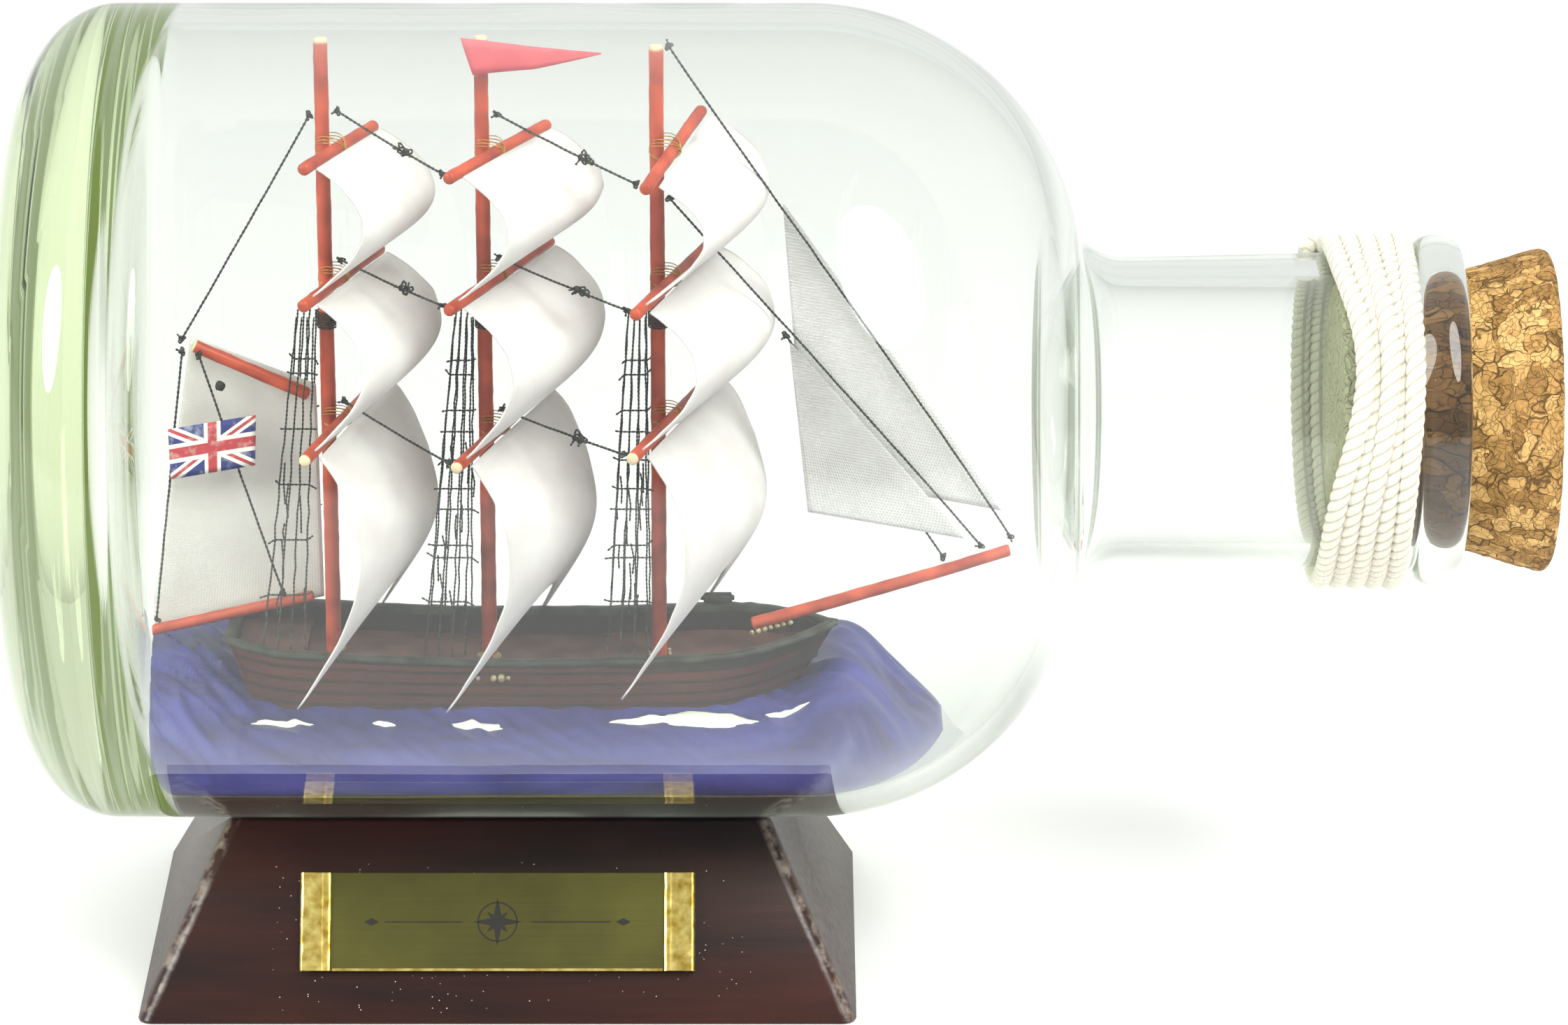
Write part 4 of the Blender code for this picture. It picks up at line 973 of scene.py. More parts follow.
def sea_half_width(x):
    full = math.sqrt(max(wall_radius(x) ** 2 - WATERLINE**2, (5 * MM) ** 2))
    if x > SEA_RIGHT_X - SEA_ROUND:
        t = (x - SEA_RIGHT_X + SEA_ROUND) / SEA_ROUND
        return full * math.sqrt(max(1 - 0.93 * t**2.4, 0.05))
    return full


def sea_height(x, y):
    """Height of the water above the bottle's axis: swells at stern and bow, with folds across them."""
    ripple = 0.35 * MM * math.sin(x / (4.6 * MM))
    stern = 3.4 * MM * math.exp(-(((x + 58 * MM) / (6 * MM)) ** 2))
    bow = 4.0 * MM * math.exp(-(((x - 6 * MM) / (4.5 * MM)) ** 2))
    sway = 2.2 * MM * noise.noise(Vector((x, y, 0)) / (9 * MM))
    fold_at = Vector((x + 0.7 * y + sway, 0.35 * y, 0)) / (3.1 * MM)
    folds = 1 - abs(noise.noise(fold_at)) * 2.2
    lumps = noise.noise(Vector((x, y, 7 * MM)) / (5 * MM))
    strength = 0.3 + 0.7 * min(1, stern / (1.5 * MM)) + 0.15 * min(1, bow / (1.5 * MM))
    calm = max(WATERLINE + ripple + stern + bow, WATERLINE + 0.8 * MM)
    return calm + strength * (1.3 * MM * folds + 0.6 * MM * lumps) - 0.5 * MM


def sea_top(x, y):
    """The finished surface: it meets the glass at the edge, where the putty is pressed thin."""
    wall = wall_radius(x)
    half = sea_half_width(x)
    edge = -math.sqrt(wall**2 - half**2)
    rise = 1 - min(abs(y / half), 1) ** 5
    # Ahead of the bow the putty ends in a smooth nose.
    nose = min((SEA_RIGHT_X - x) / (8 * MM), 1)
    rise *= math.sqrt(max(1 - (1 - nose) ** 2, 0))
    height = max(sea_height(x, y), edge + 0.3 * MM)
    return max(edge + (height - edge) * rise, -math.sqrt(max(wall**2 - y**2, 0)))


def build_sea():
    steps = 230
    across = 84
    under = 40
    points = []
    for i in range(steps + 1):
        x = SEA_LEFT_X + (SEA_RIGHT_X - SEA_LEFT_X) * i / steps
        wall = wall_radius(x)
        half = sea_half_width(x)
        for k in range(across + 1):
            t = 2 * k / across - 1
            points.append(inside(x, half * t, sea_top(x, half * t)))
        reach = math.asin(half / wall)
        for k in range(1, under):
            angle = reach * (1 - 2 * k / under)
            points.append(inside(x, wall * math.sin(angle), -wall * math.cos(angle)))
    size = across + under
    sea = new_piece("putty_sea", points, ring_faces(steps + 1, size), putty_finish(), 60)
    print("sea", round((SEA_RIGHT_X - SEA_LEFT_X) / MM, 1), "mm long,", len(sea.data.polygons), "faces")
    return settle(sea, "blue_putty", "sea")


build_sea()

# %% [markdown]
# ## Foam
# Foam is a few dabs of cream paint where the sails' corners and the bow meet the water. Each dab is a thin
# lens whose outline is ragged by noise, laid on the water's height rule so that it follows the waves.

# %% Foam dabs
FOAM, _, _ = new_finish("cream_paint_dabs", "#E4E9D6", 0.35, Specular_IOR_Level=0.5)
FOAM_DABS = {  # name: (x, y, length, width)
    "bow_wave": (-7.2 * MM, -6.4 * MM, 8.6 * MM, 3.6 * MM),
    "bow_wave_tail": (-13.0 * MM, -6.6 * MM, 6.4 * MM, 1.7 * MM),
    "bow_streak": (0.2 * MM, -5.6 * MM, 3.9 * MM, 0.8 * MM),
    "waist_dab": (-28.4 * MM, -7.6 * MM, 4.6 * MM, 1.5 * MM),
    "quarter_dab": (-37.0 * MM, -7.3 * MM, 1.8 * MM, 0.8 * MM),
    "stern_dab": (-46.4 * MM, -7.0 * MM, 5.0 * MM, 1.2 * MM),
}


def build_foam():
    rings = 7
    sides = 64
    for name, (x, y, length, width) in FOAM_DABS.items():
        points = []
        for level in (1, -1):
            for j in range(rings + 1):
                share = j / rings
                for i in range(sides):
                    angle = 2 * math.pi * i / sides
                    reach = Vector((math.cos(angle), math.sin(angle), 0))
                    ragged = 1 + 0.34 * noise.noise(reach * 1.6 + Vector((x, y, 0)) / MM)
                    ragged += 0.16 * noise.noise(reach * 5.5 + Vector((y, x, 0)) / MM)
                    px = x + reach.x * length / 2 * share * ragged
                    py = y + reach.y * width / 2 * share * ragged
                    lump = noise.noise(Vector((px, py, 0)) / (0.6 * MM))
                    crown = 0.32 * MM * (1 - share**2) * (1 + 0.5 * lump)
                    base = sea_top(px, py) + 0.06 * MM
                    points.append(inside(px, py, base + crown if level > 0 else base - 0.12 * MM))
        size = sides
        faces = ring_faces(rings + 1, size, capped=False)
        low = [tuple(v + (rings + 1) * size for v in face[::-1]) for face in faces]
        last = rings * size
        skirt = [(last + i, last + (i + 1) % size, last + (i + 1) % size + (rings + 1) * size,
                  last + i + (rings + 1) * size) for i in range(size)]
        dab = new_piece("foam_" + name, points, faces + low + skirt, FOAM, 80)
        settle(dab, "blue_putty")
    print("foam dabs", len(FOAM_DABS))


build_foam()

# %% [markdown]
# ## The hull
# The hull is a carved strip of wood, painted maroon, with its planks drawn on in black. Its dark rail is a
# separate strip. The carving follows two rules, one for half the width and one for the height of the rail,
# so sixty stations of the same section make it. A section goes up the outside, over the bulwark and down
# its inside. Two numbers are stored at every point, the place along the hull and the depth below the rail,
# so that the painted planks can follow the sheer.

# %% Painted finishes of the hull
def plank_finish():
    material, tree, shader = new_finish("maroon_hull_paint", "#5A302B", 0.5, Specular_IOR_Level=0.35)
    coords = add(tree, "TexCoord")
    place = add(tree, "SeparateXYZ", {"Vector": coords.outputs["UV"]})
    # Five planks from rail to water. A dark line is drawn where the wave of a triangle is low.
    shaky = add(tree, "TexNoise", {"Scale": 160.0, "Detail": 2.0, "Vector": coords.outputs["Object"]})
    shift = add(tree, "Math", {"operation": "MULTIPLY", 1: 0.05, 0: shaky.outputs["Fac"]})
    depth = add(tree, "Math", {"operation": "ADD", 0: place.outputs["Y"], 1: shift})
    plank = add(tree, "Math", {"operation": "MULTIPLY", 1: 4.6, 0: depth})
    wave = add(tree, "Math", {"operation": "PINGPONG", 1: 0.5, 0: plank})
    drawn = add(tree, "MapRange", {"From Min": 0.2, "From Max": 0.1, "Value": wave})
    blotch = add(tree, "TexNoise", {"Scale": 420.0, "Detail": 4.0, "Vector": coords.outputs["Object"]})
    brushed = add(tree, "Mapping", {"Scale": (90.0, 700.0, 900.0), "Vector": coords.outputs["Object"]})
    brush = add(tree, "TexNoise", {"Scale": 1.0, "Detail": 3.0, "Vector": brushed})
    worn = add(tree, "MapRange", {"From Min": 0.45, "From Max": 0.6, "Value": blotch.outputs["Fac"]})
    line = add(tree, "Math", {"operation": "MULTIPLY_ADD", 1: 0.25, 2: 0.75, 0: worn})
    strength = add(tree, "Math", {"operation": "MULTIPLY", 0: drawn, 1: line})
    paint = add(tree, "Mix",
                {"data_type": "RGBA", 6: linear("#371712"), 7: linear("#5E2F28"), 0: brush.outputs["Fac"]})
    lined = add(tree, "Mix", {"data_type": "RGBA", 7: linear("#1D1412"), 0: strength, 6: paint})
    # A broad dark band below the rail widens towards the bow.
    forward = add(tree, "MapRange",
                  {"From Min": 0.62, "From Max": 0.84, "To Min": 0.10, "To Max": 0.26,
                   "Value": place.outputs["X"]})
    band = add(tree, "Math", {"operation": "LESS_THAN", 0: depth, 1: forward})
    banded = add(tree, "Mix", {"data_type": "RGBA", 7: linear("#231F1B"), 0: band, 6: lined})
    raised = add(tree, "Bump", {"Strength": 0.3, "Distance": 0.08 * MM, "Height": brush.outputs["Fac"]})
    feed(shader, {"Base Color": banded, "Normal": raised})
    return material


def flat_paint(name, dark, pale, scale, roughness=0.55):
    """A hand-brushed paint: two close tones mixed by fine noise, with the same noise as its thickness."""
    material, tree, shader = new_finish(name, dark, roughness, Specular_IOR_Level=0.35)
    coords = add(tree, "TexCoord").outputs["Object"]
    cloud = add(tree, "TexNoise", {"Scale": scale, "Detail": 4.0, "Vector": coords})
    spread = add(tree, "MapRange", {"From Min": 0.35, "From Max": 0.65, "Value": cloud.outputs["Fac"]})
    mixed = add(tree, "Mix", {"data_type": "RGBA", 6: linear(dark), 7: linear(pale), 0: spread})
    raised = add(tree, "Bump", {"Strength": 0.3, "Distance": 0.08 * MM, "Height": cloud.outputs["Fac"]})
    feed(shader, {"Base Color": mixed, "Normal": raised})
    return material


RAIL_PAINT = flat_paint("dark_green_rail_paint", "#191A16", "#3B3E37", 500.0)
DECK_PAINT = flat_paint("brown_deck_stain", "#3E221A", "#684236", 260.0)
FITTING_PAINT = flat_paint("black_fitting_paint", "#171716", "#35352F", 600.0)

# %% Hull
STERN_X = -51.8 * MM
BOW_X = 4.8 * MM
HALF_BEAM = 7.1 * MM
RAIL_Z = -23.9 * MM
KEEL_Z = -30.4 * MM
BULWARK = 0.8 * MM
BULWARK_HEIGHT = 2.2 * MM


def hull_half(x):
    """Half the hull's width at the rail."""
    if x < STERN_X + 6 * MM:
        t = (STERN_X + 6 * MM - x) / (6 * MM)
        return HALF_BEAM - (HALF_BEAM - 4.6 * MM) * t * t
    if x > BOW_X - 13 * MM:
        t = (x - BOW_X + 13 * MM) / (13 * MM)
        return max(HALF_BEAM * (1 - t**2.2), 0.3 * MM)
    return HALF_BEAM


def rail_height(x):
    middle = (STERN_X + BOW_X) / 2
    return RAIL_Z + 1.4 * MM * ((x - middle) / (STERN_X - middle)) ** 2


def hull_section(x, hollow):
    """The section's points, from the inside of the far bulwark round to the near one, with UV pairs."""
    along = (x - STERN_X) / (BOW_X - STERN_X)
    rake = 2.2 * MM * (1 - along) - 3.8 * MM * along
    half = hull_half(x)
    top = rail_height(x)
    inner = max(half - BULWARK, 0.04 * MM)
    side = [(x, inner, top - BULWARK_HEIGHT - 0.7 * MM if hollow else top - 0.02 * MM), (x, inner, top)]
    marks = [(along, 0.0), (along, 0.0)]
    steps = 10
    for k in range(steps + 1):
        share = k / steps
        height = top + (WATERLINE - top) * share
        # The sides bulge a little between rail and water, and every plank edge is a shallow groove.
        bulge = 0.22 * MM * math.sin(math.pi * share) * min(1, half / (3 * MM))
        groove = 0.08 * MM if k in (2, 4, 6, 8) and half > 1.2 * MM else 0.0
        side.append((x + rake * share, half * (1 - 0.06 * share) + bulge - groove, height))
        marks.append((along, share))
    side.append((x + rake, half * 0.7, KEEL_Z))
    marks.append((along, 1.2))
    far = [inside(px, SHIP_Y + py, pz) for px, py, pz in side]
    near = [inside(px, SHIP_Y - py, pz) for px, py, pz in side[::-1]]
    return far + near, marks + marks[::-1]


def build_hull():
    stations = [STERN_X, STERN_X + BULWARK - 0.01 * MM, STERN_X + BULWARK + 0.01 * MM]
    stations += [STERN_X + BULWARK + (BOW_X - STERN_X - 2.4 * MM) * i / 58 for i in range(1, 59)]
    last = stations[-1]
    stations += [last + 0.02 * MM] + [last + (BOW_X - last) * i / 4 for i in range(1, 5)]
    points, marks = [], []
    for i, x in enumerate(stations):
        hollow = 2 <= i <= 60 and hull_half(x) > BULWARK + 0.3 * MM
        ring, pairs = hull_section(x, hollow)
        points += ring
        marks += pairs
    size = len(points) // len(stations)
    hull = new_piece("carved_hull", points, ring_faces(len(stations), size), plank_finish(), 50, marks)
    print("hull", round((BOW_X - STERN_X) / MM, 1), "mm long,", len(hull.data.polygons), "faces")
    return settle(hull, "maroon_paint", "hull")


def build_rail():
    """A strip along the top of the bulwark: from the bow down the near side, across the stern and back."""
    xs = [BOW_X - (BOW_X - STERN_X) * i / 70 for i in range(71)]
    route = [(x, -hull_half(x) + BULWARK * 0.45) for x in xs]
    route += [(STERN_X + 0.3 * MM, y * MM) for y in (-2.8, -1.4, 0, 1.4, 2.8)]
    route += [(x, hull_half(x) - BULWARK * 0.45) for x in xs[::-1]]
    points = []
    for i, (x, y) in enumerate(route):
        before = Vector(route[max(i - 1, 0)])
        after = Vector(route[min(i + 1, len(route) - 1)])
        run = (after - before).normalized()
        out = Vector((run.y, -run.x))
        rough = 0.10 * MM * noise.noise(Vector((x, y, 0)) / (0.9 * MM))
        top = rail_height(x)
        half = 0.52 * MM
        section = ((-half, -0.1), (-half, 0.22), (-half * 0.6, 0.36))
        section += ((half * 0.6, 0.36), (half, 0.22), (half, -0.35))
        for away, lift in section:
            spot = Vector((x, y)) + out * (away + (rough if away > 0 else 0))
            points.append(inside(spot.x, SHIP_Y + spot.y, top + lift * MM + rough))
    rail = new_piece("bulwark_rail", points, ring_faces(len(route), 6), RAIL_PAINT, 60)
    return settle(rail, "maroon_paint")


build_hull()
build_rail()

# %% [markdown]
# ## Deck and cathead
# The deck is a strip of wood glued between the bulwarks and stained brown, thinly enough to show its grain. A
# raised after deck covers its last fifth. The black cathead block lies on the far rail by the bow.

# %% Deck and fittings
def deck_slab(name, from_x, to_x, rise, thickness, material, inset=0.15 * MM):
    steps = 40
    points = []
    for i in range(steps + 1):
        x = from_x + (to_x - from_x) * i / steps
        half = max(hull_half(x) - BULWARK - inset, 0.2 * MM)
        top = rail_height(x) - BULWARK_HEIGHT + rise
        for side, level in ((half, 0), (half * 0.4, 0.08 * MM), (-half * 0.4, 0.08 * MM), (-half, 0)):
            points.append(inside(x, SHIP_Y + side, top + level))
        points += [inside(x, SHIP_Y - half, top - thickness), inside(x, SHIP_Y + half, top - thickness)]
    return new_piece(name, points, ring_faces(steps + 1, 6), material, 40)


def build_deck():
    deck = deck_slab("deck_board", STERN_X + 0.9 * MM, BOW_X - 2.6 * MM, 0.0, 0.5 * MM, DECK_PAINT)
    settle(deck, "deck_paint", "deck")
    after = deck_slab("after_deck", STERN_X + 0.9 * MM, STERN_X + 7.2 * MM, 0.9 * MM, 0.85 * MM, DECK_PAINT)
    settle(after, "deck_paint")


def build_cathead():
    low, high = [Vector(corner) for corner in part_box("bow_fitting")]
    middle = (low + high) / 2
    bm = bmesh.new()
    bmesh.ops.create_cube(bm, size=1.0)
    placed = Matrix.Translation(middle) @ Matrix.Diagonal((*(high - low), 1.0))
    bmesh.ops.transform(bm, matrix=placed, verts=bm.verts)
    bmesh.ops.bevel(bm, geom=list(bm.edges), offset=0.3 * MM, segments=3, affect="EDGES")
    bmesh.ops.subdivide_edges(bm, edges=list(bm.edges), cuts=2, use_grid_fill=True)
    bm.normal_update()
    for vertex in bm.verts:
        vertex.co += vertex.normal * 0.1 * MM * noise.noise(vertex.co / (0.7 * MM))
    mesh = bpy.data.meshes.new("cathead_block")
    bm.to_mesh(mesh)
    bm.free()
    mesh.materials.append(FITTING_PAINT)
    mesh.shade_smooth()
    block = put("cathead_block", mesh)
    settle(block, "black_paint", "bow_fitting")


build_deck()
build_cathead()
print("deck and cathead done")

# %% [markdown]
# ## Spars
# Masts, yards, gaff, boom and bowsprit are split bamboo or matchwood, dipped in brick-red paint. They
# aren't quite round, and their cut ends show bare wood. Each is a tube between the two ends that are read
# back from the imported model, its rings pushed about by a little noise. An attribute says how near the tip a
# point is, and the finish turns to bare wood there.

# %% Red spar paint
def spar_finish():
    material, tree, shader = new_finish("brick_red_spar_paint", "#B6402C", 0.42, Specular_IOR_Level=0.45)
    coords = add(tree, "TexCoord").outputs["Object"]
    cloud = add(tree, "TexNoise", {"Scale": 380.0, "Detail": 4.0, "Vector": coords})
    tone = add(tree, "ValToRGB", {"Fac": cloud.outputs["Fac"]})
    tone.color_ramp.elements[0].position = 0.3
    tone.color_ramp.elements[0].color = linear("#93301F")
    tone.color_ramp.elements[1].position = 0.7
    tone.color_ramp.elements[1].color = linear("#CE5638")
    near_tip = add(tree, "Attribute", {"attribute_name": "tip"}).outputs["Fac"]
    ragged = add(tree, "Math", {"operation": "MULTIPLY_ADD", 1: 0.6, 2: -0.3, 0: cloud.outputs["Fac"]})
    summed = add(tree, "Math", {"operation": "ADD", 0: near_tip, 1: ragged})
    bare = add(tree, "MapRange", {"From Min": 0.5, "From Max": 0.75, "Value": summed})
    wood = add(tree, "Mix", {"data_type": "RGBA", 7: linear("#D9C6A4"), 0: bare, 6: tone})
    raised = add(tree, "Bump", {"Strength": 0.4, "Distance": 0.1 * MM, "Height": cloud.outputs["Fac"]})
    feed(shader, {"Base Color": wood, "Normal": raised})
    return material


SPAR_PAINT = spar_finish()


def tube_rings(path, radius_at, sides, rough=0.0):
    """Rings of points round a path, kept square to it."""
    points = []
    for i, spot in enumerate(path):
        run = (path[min(i + 1, len(path) - 1)] - path[max(i - 1, 0)]).normalized()
        across = run.orthogonal().normalized() if i == 0 else (across - run * across.dot(run)).normalized()
        other = run.cross(across)
        for k in range(sides):
            angle = 2 * math.pi * k / sides
            away = across * math.cos(angle) + other * math.sin(angle)
            radius = radius_at(i / (len(path) - 1))
            dent = 1 + rough * noise.noise((spot + away * radius * 3) / (1.1 * MM))
            points.append(spot + away * radius * dent)
    return points


def build_spar(node, radius, bare_ends, taper=1.0):
    low, high = run_ends(node)
    length = (high - low).length
    steps = max(12, int(length / (0.8 * MM)))
    ease = 0.25 * MM / length
    shares = [0, ease * 0.4, ease] + [ease + (1 - 2 * ease) * i / steps for i in range(1, steps)]
    shares += [1 - ease, 1 - ease * 0.4, 1]
    path = [low.lerp(high, share) for share in shares]
    rounds = {0: 0.72, 1: 0.92, len(shares) - 2: 0.92, len(shares) - 1: 0.72}

    def radius_at(t):
        i = round(t * (len(shares) - 1))
        return radius * rounds.get(i, 1.0) * (1 + (taper - 1) * shares[i])

    sides = 14
    points = tube_rings(path, radius_at, sides, 0.09)
    spar = new_piece("painted_" + node, points, ring_faces(len(path), sides), SPAR_PAINT, 50)
    tip = spar.data.attributes.new("tip", "FLOAT", "POINT")
    for i, vertex in enumerate(spar.data.vertices):
        reach = (vertex.co - low).dot(high - low) / length
        near = 0.0
        if "low" in bare_ends:
            near = max(near, 1 - reach / (0.5 * MM))
        if "high" in bare_ends:
            near = max(near, 1 - (length - reach) / (0.9 * MM))
        tip.data[i].value = max(near, 0.0)
    return settle(spar, "red_spar_paint", node)


MAST_NAMES = ("mizzen", "main", "fore")
LEVELS = ("upper", "middle", "lower")
for mast in MAST_NAMES:
    build_spar(mast + "_mast", 0.72 * MM, "high", 0.92)
    for level in LEVELS:
        build_spar(f"{mast}_{level}_yard", 0.58 * MM, "low" if level == "lower" else "")
build_spar("gaff", 0.6 * MM, "low")
build_spar("boom", 0.52 * MM, "")
build_spar("bowsprit", 0.62 * MM, "", 0.92)
print("spars", 3 + 9 + 3)

# %% [markdown]
# ## Square sails
# The nine square sails are cut from stiffened white cotton, thin as paper, and glued to their yards. The
# side edges curl and the lower corners are drawn out to points. Every sail follows one rule: it hangs from
# one yard to the next and bellies forward. The grid is fine and the cloth is given its thickness by
# Solidify. The width and length they were cut to are measured along the grid.

# %% Sailcloth finish
def sailcloth_finish(name, colour, shade, pitch, bump, thin):
    """Woven cotton: thread spacing from the UV map in metres, a soft sheen, and light let through."""
    material, tree, shader = new_finish(name, colour, 0.85, Specular_IOR_Level=0.25, Sheen_Weight=0.15)
    coords = add(tree, "TexCoord")
    per_thread = 2 * math.pi / pitch
    weave = []
    for direction in ("X", "Y"):
        settings = {"bands_direction": direction, "Scale": per_thread / 20, "Distortion": 0.6}
        settings |= {"Detail": 1.0, "Detail Scale": 2.0}
        weave.append(add(tree, "TexWave", settings | {"Vector": coords.outputs["UV"]}))
    threads = add(tree, "Math",
                  {"operation": "MULTIPLY", 0: weave[0].outputs["Fac"], 1: weave[1].outputs["Fac"]})
    cloud = add(tree, "TexNoise", {"Scale": 240.0, "Detail": 4.0, "Vector": coords.outputs["Object"]})
    soft = add(tree, "MapRange", {"From Min": 0.4, "From Max": 0.75, "Value": cloud.outputs["Fac"]})
    tint = add(tree, "Mix", {"data_type": "RGBA", 6: linear(colour), 7: linear(shade), 0: soft})
    raised = add(tree, "Bump", {"Strength": bump, "Distance": 0.05 * MM, "Height": threads})
    crease = add(tree, "Bump",
                 {"Strength": 0.35, "Distance": 0.25 * MM, "Height": cloud.outputs["Fac"], "Normal": raised})
    feed(shader, {"Base Color": tint, "Normal": crease})
    through = add(tree, "BsdfTranslucent", {"Color": linear(colour), "Normal": crease})
    mixed = add(tree, "MixShader", {0: thin, 1: shader, 2: through})
    feed(tree.nodes["Material Output"], {"Surface": mixed})
    return material, tree, weave


SAILCLOTH, _, _ = sailcloth_finish("starched_white_cotton", "#F3EFF0", "#E4DCDD", 0.30 * MM, 0.25, 0.28)

# %% Square sails
YARD_RADIUS = 0.6 * MM
YARD_STANDOFF = 0.72 * MM + 0.3 * MM + YARD_RADIUS
SAIL_STANDOFF = YARD_RADIUS + 0.45 * MM
MAST_X = {"mizzen": -42.2 * MM, "main": -27.6 * MM, "fore": -11.65 * MM}
MAST_TOP = {"mizzen": 34.2 * MM, "main": 34.4 * MM, "fore": 33.6 * MM}
YARDS = {  # mast and level: (height, half length, brace angle, cant angle)
    ("mizzen", "upper"): (24.3 * MM, 7.9 * MM, 21, 0),
    ("mizzen", "middle"): (11.9 * MM, 9.4 * MM, 19, 0),
    ("mizzen", "lower"): (-1.8 * MM, 12.6 * MM, 14, 0),
    ("main", "upper"): (24.0 * MM, 9.9 * MM, 25, 0),
    ("main", "middle"): (12.1 * MM, 11.4 * MM, 22, 0),
    ("main", "lower"): (-2.6 * MM, 12.4 * MM, 18, 0),
    ("fore", "upper"): (24.1 * MM, 9.6 * MM, 15, 7),
    ("fore", "middle"): (11.8 * MM, 11.6 * MM, 17, 0),
    ("fore", "lower"): (-1.6 * MM, 12.8 * MM, 17, 0),
}
FOOT_BELLY = {"upper": 3.3 * MM, "middle": 3.7 * MM, "lower": 3.0 * MM}
FOOT_RISE = {"upper": 2.6 * MM, "middle": 2.8 * MM, "lower": 8.6 * MM}
CLEW_Z = {"mizzen": -26.6 * MM, "main": -26.9 * MM, "fore": -25.6 * MM}


def yard_frame(mast, level):
    """Middle, direction and forward normal of a yard, and half its length."""
    height, half, brace, cant = YARDS[mast, level]
    brace, cant = math.radians(brace), math.radians(cant)
    forward = Vector((math.cos(brace), -math.sin(brace), 0))
    along = Vector((math.sin(brace) * math.cos(cant), math.cos(brace) * math.cos(cant), math.sin(cant)))
    return inside(MAST_X[mast], SHIP_Y, height) + forward * YARD_STANDOFF, along, forward, half


def sail_point(mast, level, across, down):
    """A point of a sail: `across` from -1, the near edge, to 1, `down` from 0, the yard, to 1, the foot."""
    middle, along, forward, half = yard_frame(mast, level)
    top = middle + forward * SAIL_STANDOFF + along * (half * 0.9 * across)
    if level == "lower":
        clew = inside(MAST_X[mast], SHIP_Y, CLEW_Z[mast]) + forward * (YARD_STANDOFF + SAIL_STANDOFF)
        bottom = clew + along * (11.3 * MM * across)
        bottom.x -= 2.6 * MM * across**2
    else:
        below = yard_frame(mast, LEVELS[LEVELS.index(level) + 1])
        bottom = below[0] + below[2] * SAIL_STANDOFF + Vector((0, 0, 1.1 * MM))
        bottom += below[1] * (below[3] * across)
    bottom += Vector((0, 0, FOOT_RISE[level] * (1 - across**2)))
    belly = 4.8 * MM * math.sin(math.pi * down**0.85)
    belly += FOOT_BELLY[level] * math.sin(math.pi / 2 * down) * (1 - across**2)
    # The cut edge waves a little and the corners curl back.
    edge = abs(across) ** 8
    belly += edge * 0.18 * MM * noise.noise(Vector((down * 9, across, len(mast))))
    return top.lerp(bottom, down) + forward * belly


def run_length(points):
    return sum((b - a).length for a, b in zip(points, points[1:]))


def cloth_grid(name, rows, thickness, material, slot, nodes):
    """A sheet from rows of points: UVs in metres along the cloth, Solidify for thickness."""
    count = len(rows[0])
    width = max(run_length(row) for row in rows)
    length = run_length([row[count // 2] for row in rows])
    length = max(length, run_length([row[0] for row in rows]))
    points = [point for row in rows for point in row]
    uv = []
    for j in range(len(rows)):
        for i in range(count):
            uv.append((width * i / (count - 1), length * j / (len(rows) - 1)))
    faces = ring_faces(len(rows), count, closed=False, capped=False)
    sheet = new_piece(name, points, faces, material, 180, uv)
    wall = sheet.modifiers.new("thickness", "SOLIDIFY")
    wall.thickness = thickness
    wall.offset = 0
    settle(sheet, slot, *nodes)
    return sheet


def build_square_sails():
    across, down = 32, 32
    for mast in MAST_NAMES:
        for level in LEVELS:
            rows = []
            for j in range(down + 1):
                row = [sail_point(mast, level, 2 * i / across - 1, j / down) for i in range(across + 1)]
                rows.append(row)
            name = f"cotton_{mast}_{level}_sail"
            cloth_grid(name, rows, 0.2 * MM, SAILCLOTH, "white_sailcloth", [f"{mast}_{level}_sail"])


build_square_sails()

# %% [markdown]
# ## Spanker and jibs
# The spanker is ribbed cotton and the two jibs are open muslin. Muslin is see-through because it has holes,
# not because its thread is clear, so the finish is cut away between the threads.

# %% Muslin and ribbed cotton
SPANKER_CLOTH, _, _ = sailcloth_finish("ribbed_white_cotton", "#F8F4F4", "#ECE5E6", 0.27 * MM, 0.7, 0.35)


def muslin_finish():
    material, tree, weave = sailcloth_finish("open_cotton_muslin", "#F2EFF1", "#E5E1E3", 0.35 * MM, 0.7, 0.4)
    # A hole is where both weave waves are low. Its edge is soft, because real thread is hairy.
    highest = add(tree, "Math",
                  {"operation": "MAXIMUM", 0: weave[0].outputs["Fac"], 1: weave[1].outputs["Fac"]})
    cover = add(tree, "MapRange",
                {"From Min": 0.25, "From Max": 0.7, "To Min": 0.45, "To Max": 0.97, "Value": highest})
    solid = tree.nodes["Material Output"].inputs["Surface"].links[0].from_socket
    hole = add(tree, "BsdfTransparent")
    cut = add(tree, "MixShader", {0: cover, 1: hole, 2: solid})
    feed(tree.nodes["Material Output"], {"Surface": cut})
    return material


MUSLIN = muslin_finish()


def midship(spot, aside=0.0):
    return inside(spot[0] * MM, SHIP_Y + aside, spot[1] * MM)


def patch_rows(corners, across, down, bulge, aside):
    """Rows over a four-cornered patch (head aft, head fore, foot fore, foot aft) that bellies sideways."""
    head_aft, head_fore, foot_fore, foot_aft = [midship(corner, aside) for corner in corners]
    rows = []
    for j in range(down + 1):
        v = j / down
        aft, fore = head_aft.lerp(foot_aft, v), head_fore.lerp(foot_fore, v)
        row = []
        for i in range(across + 1):
            u = i / across
            point = aft.lerp(fore, u)
            point.y += bulge * math.sin(math.pi * u) * math.sin(math.pi * v)
            row.append(point)
        rows.append(row)
    return rows


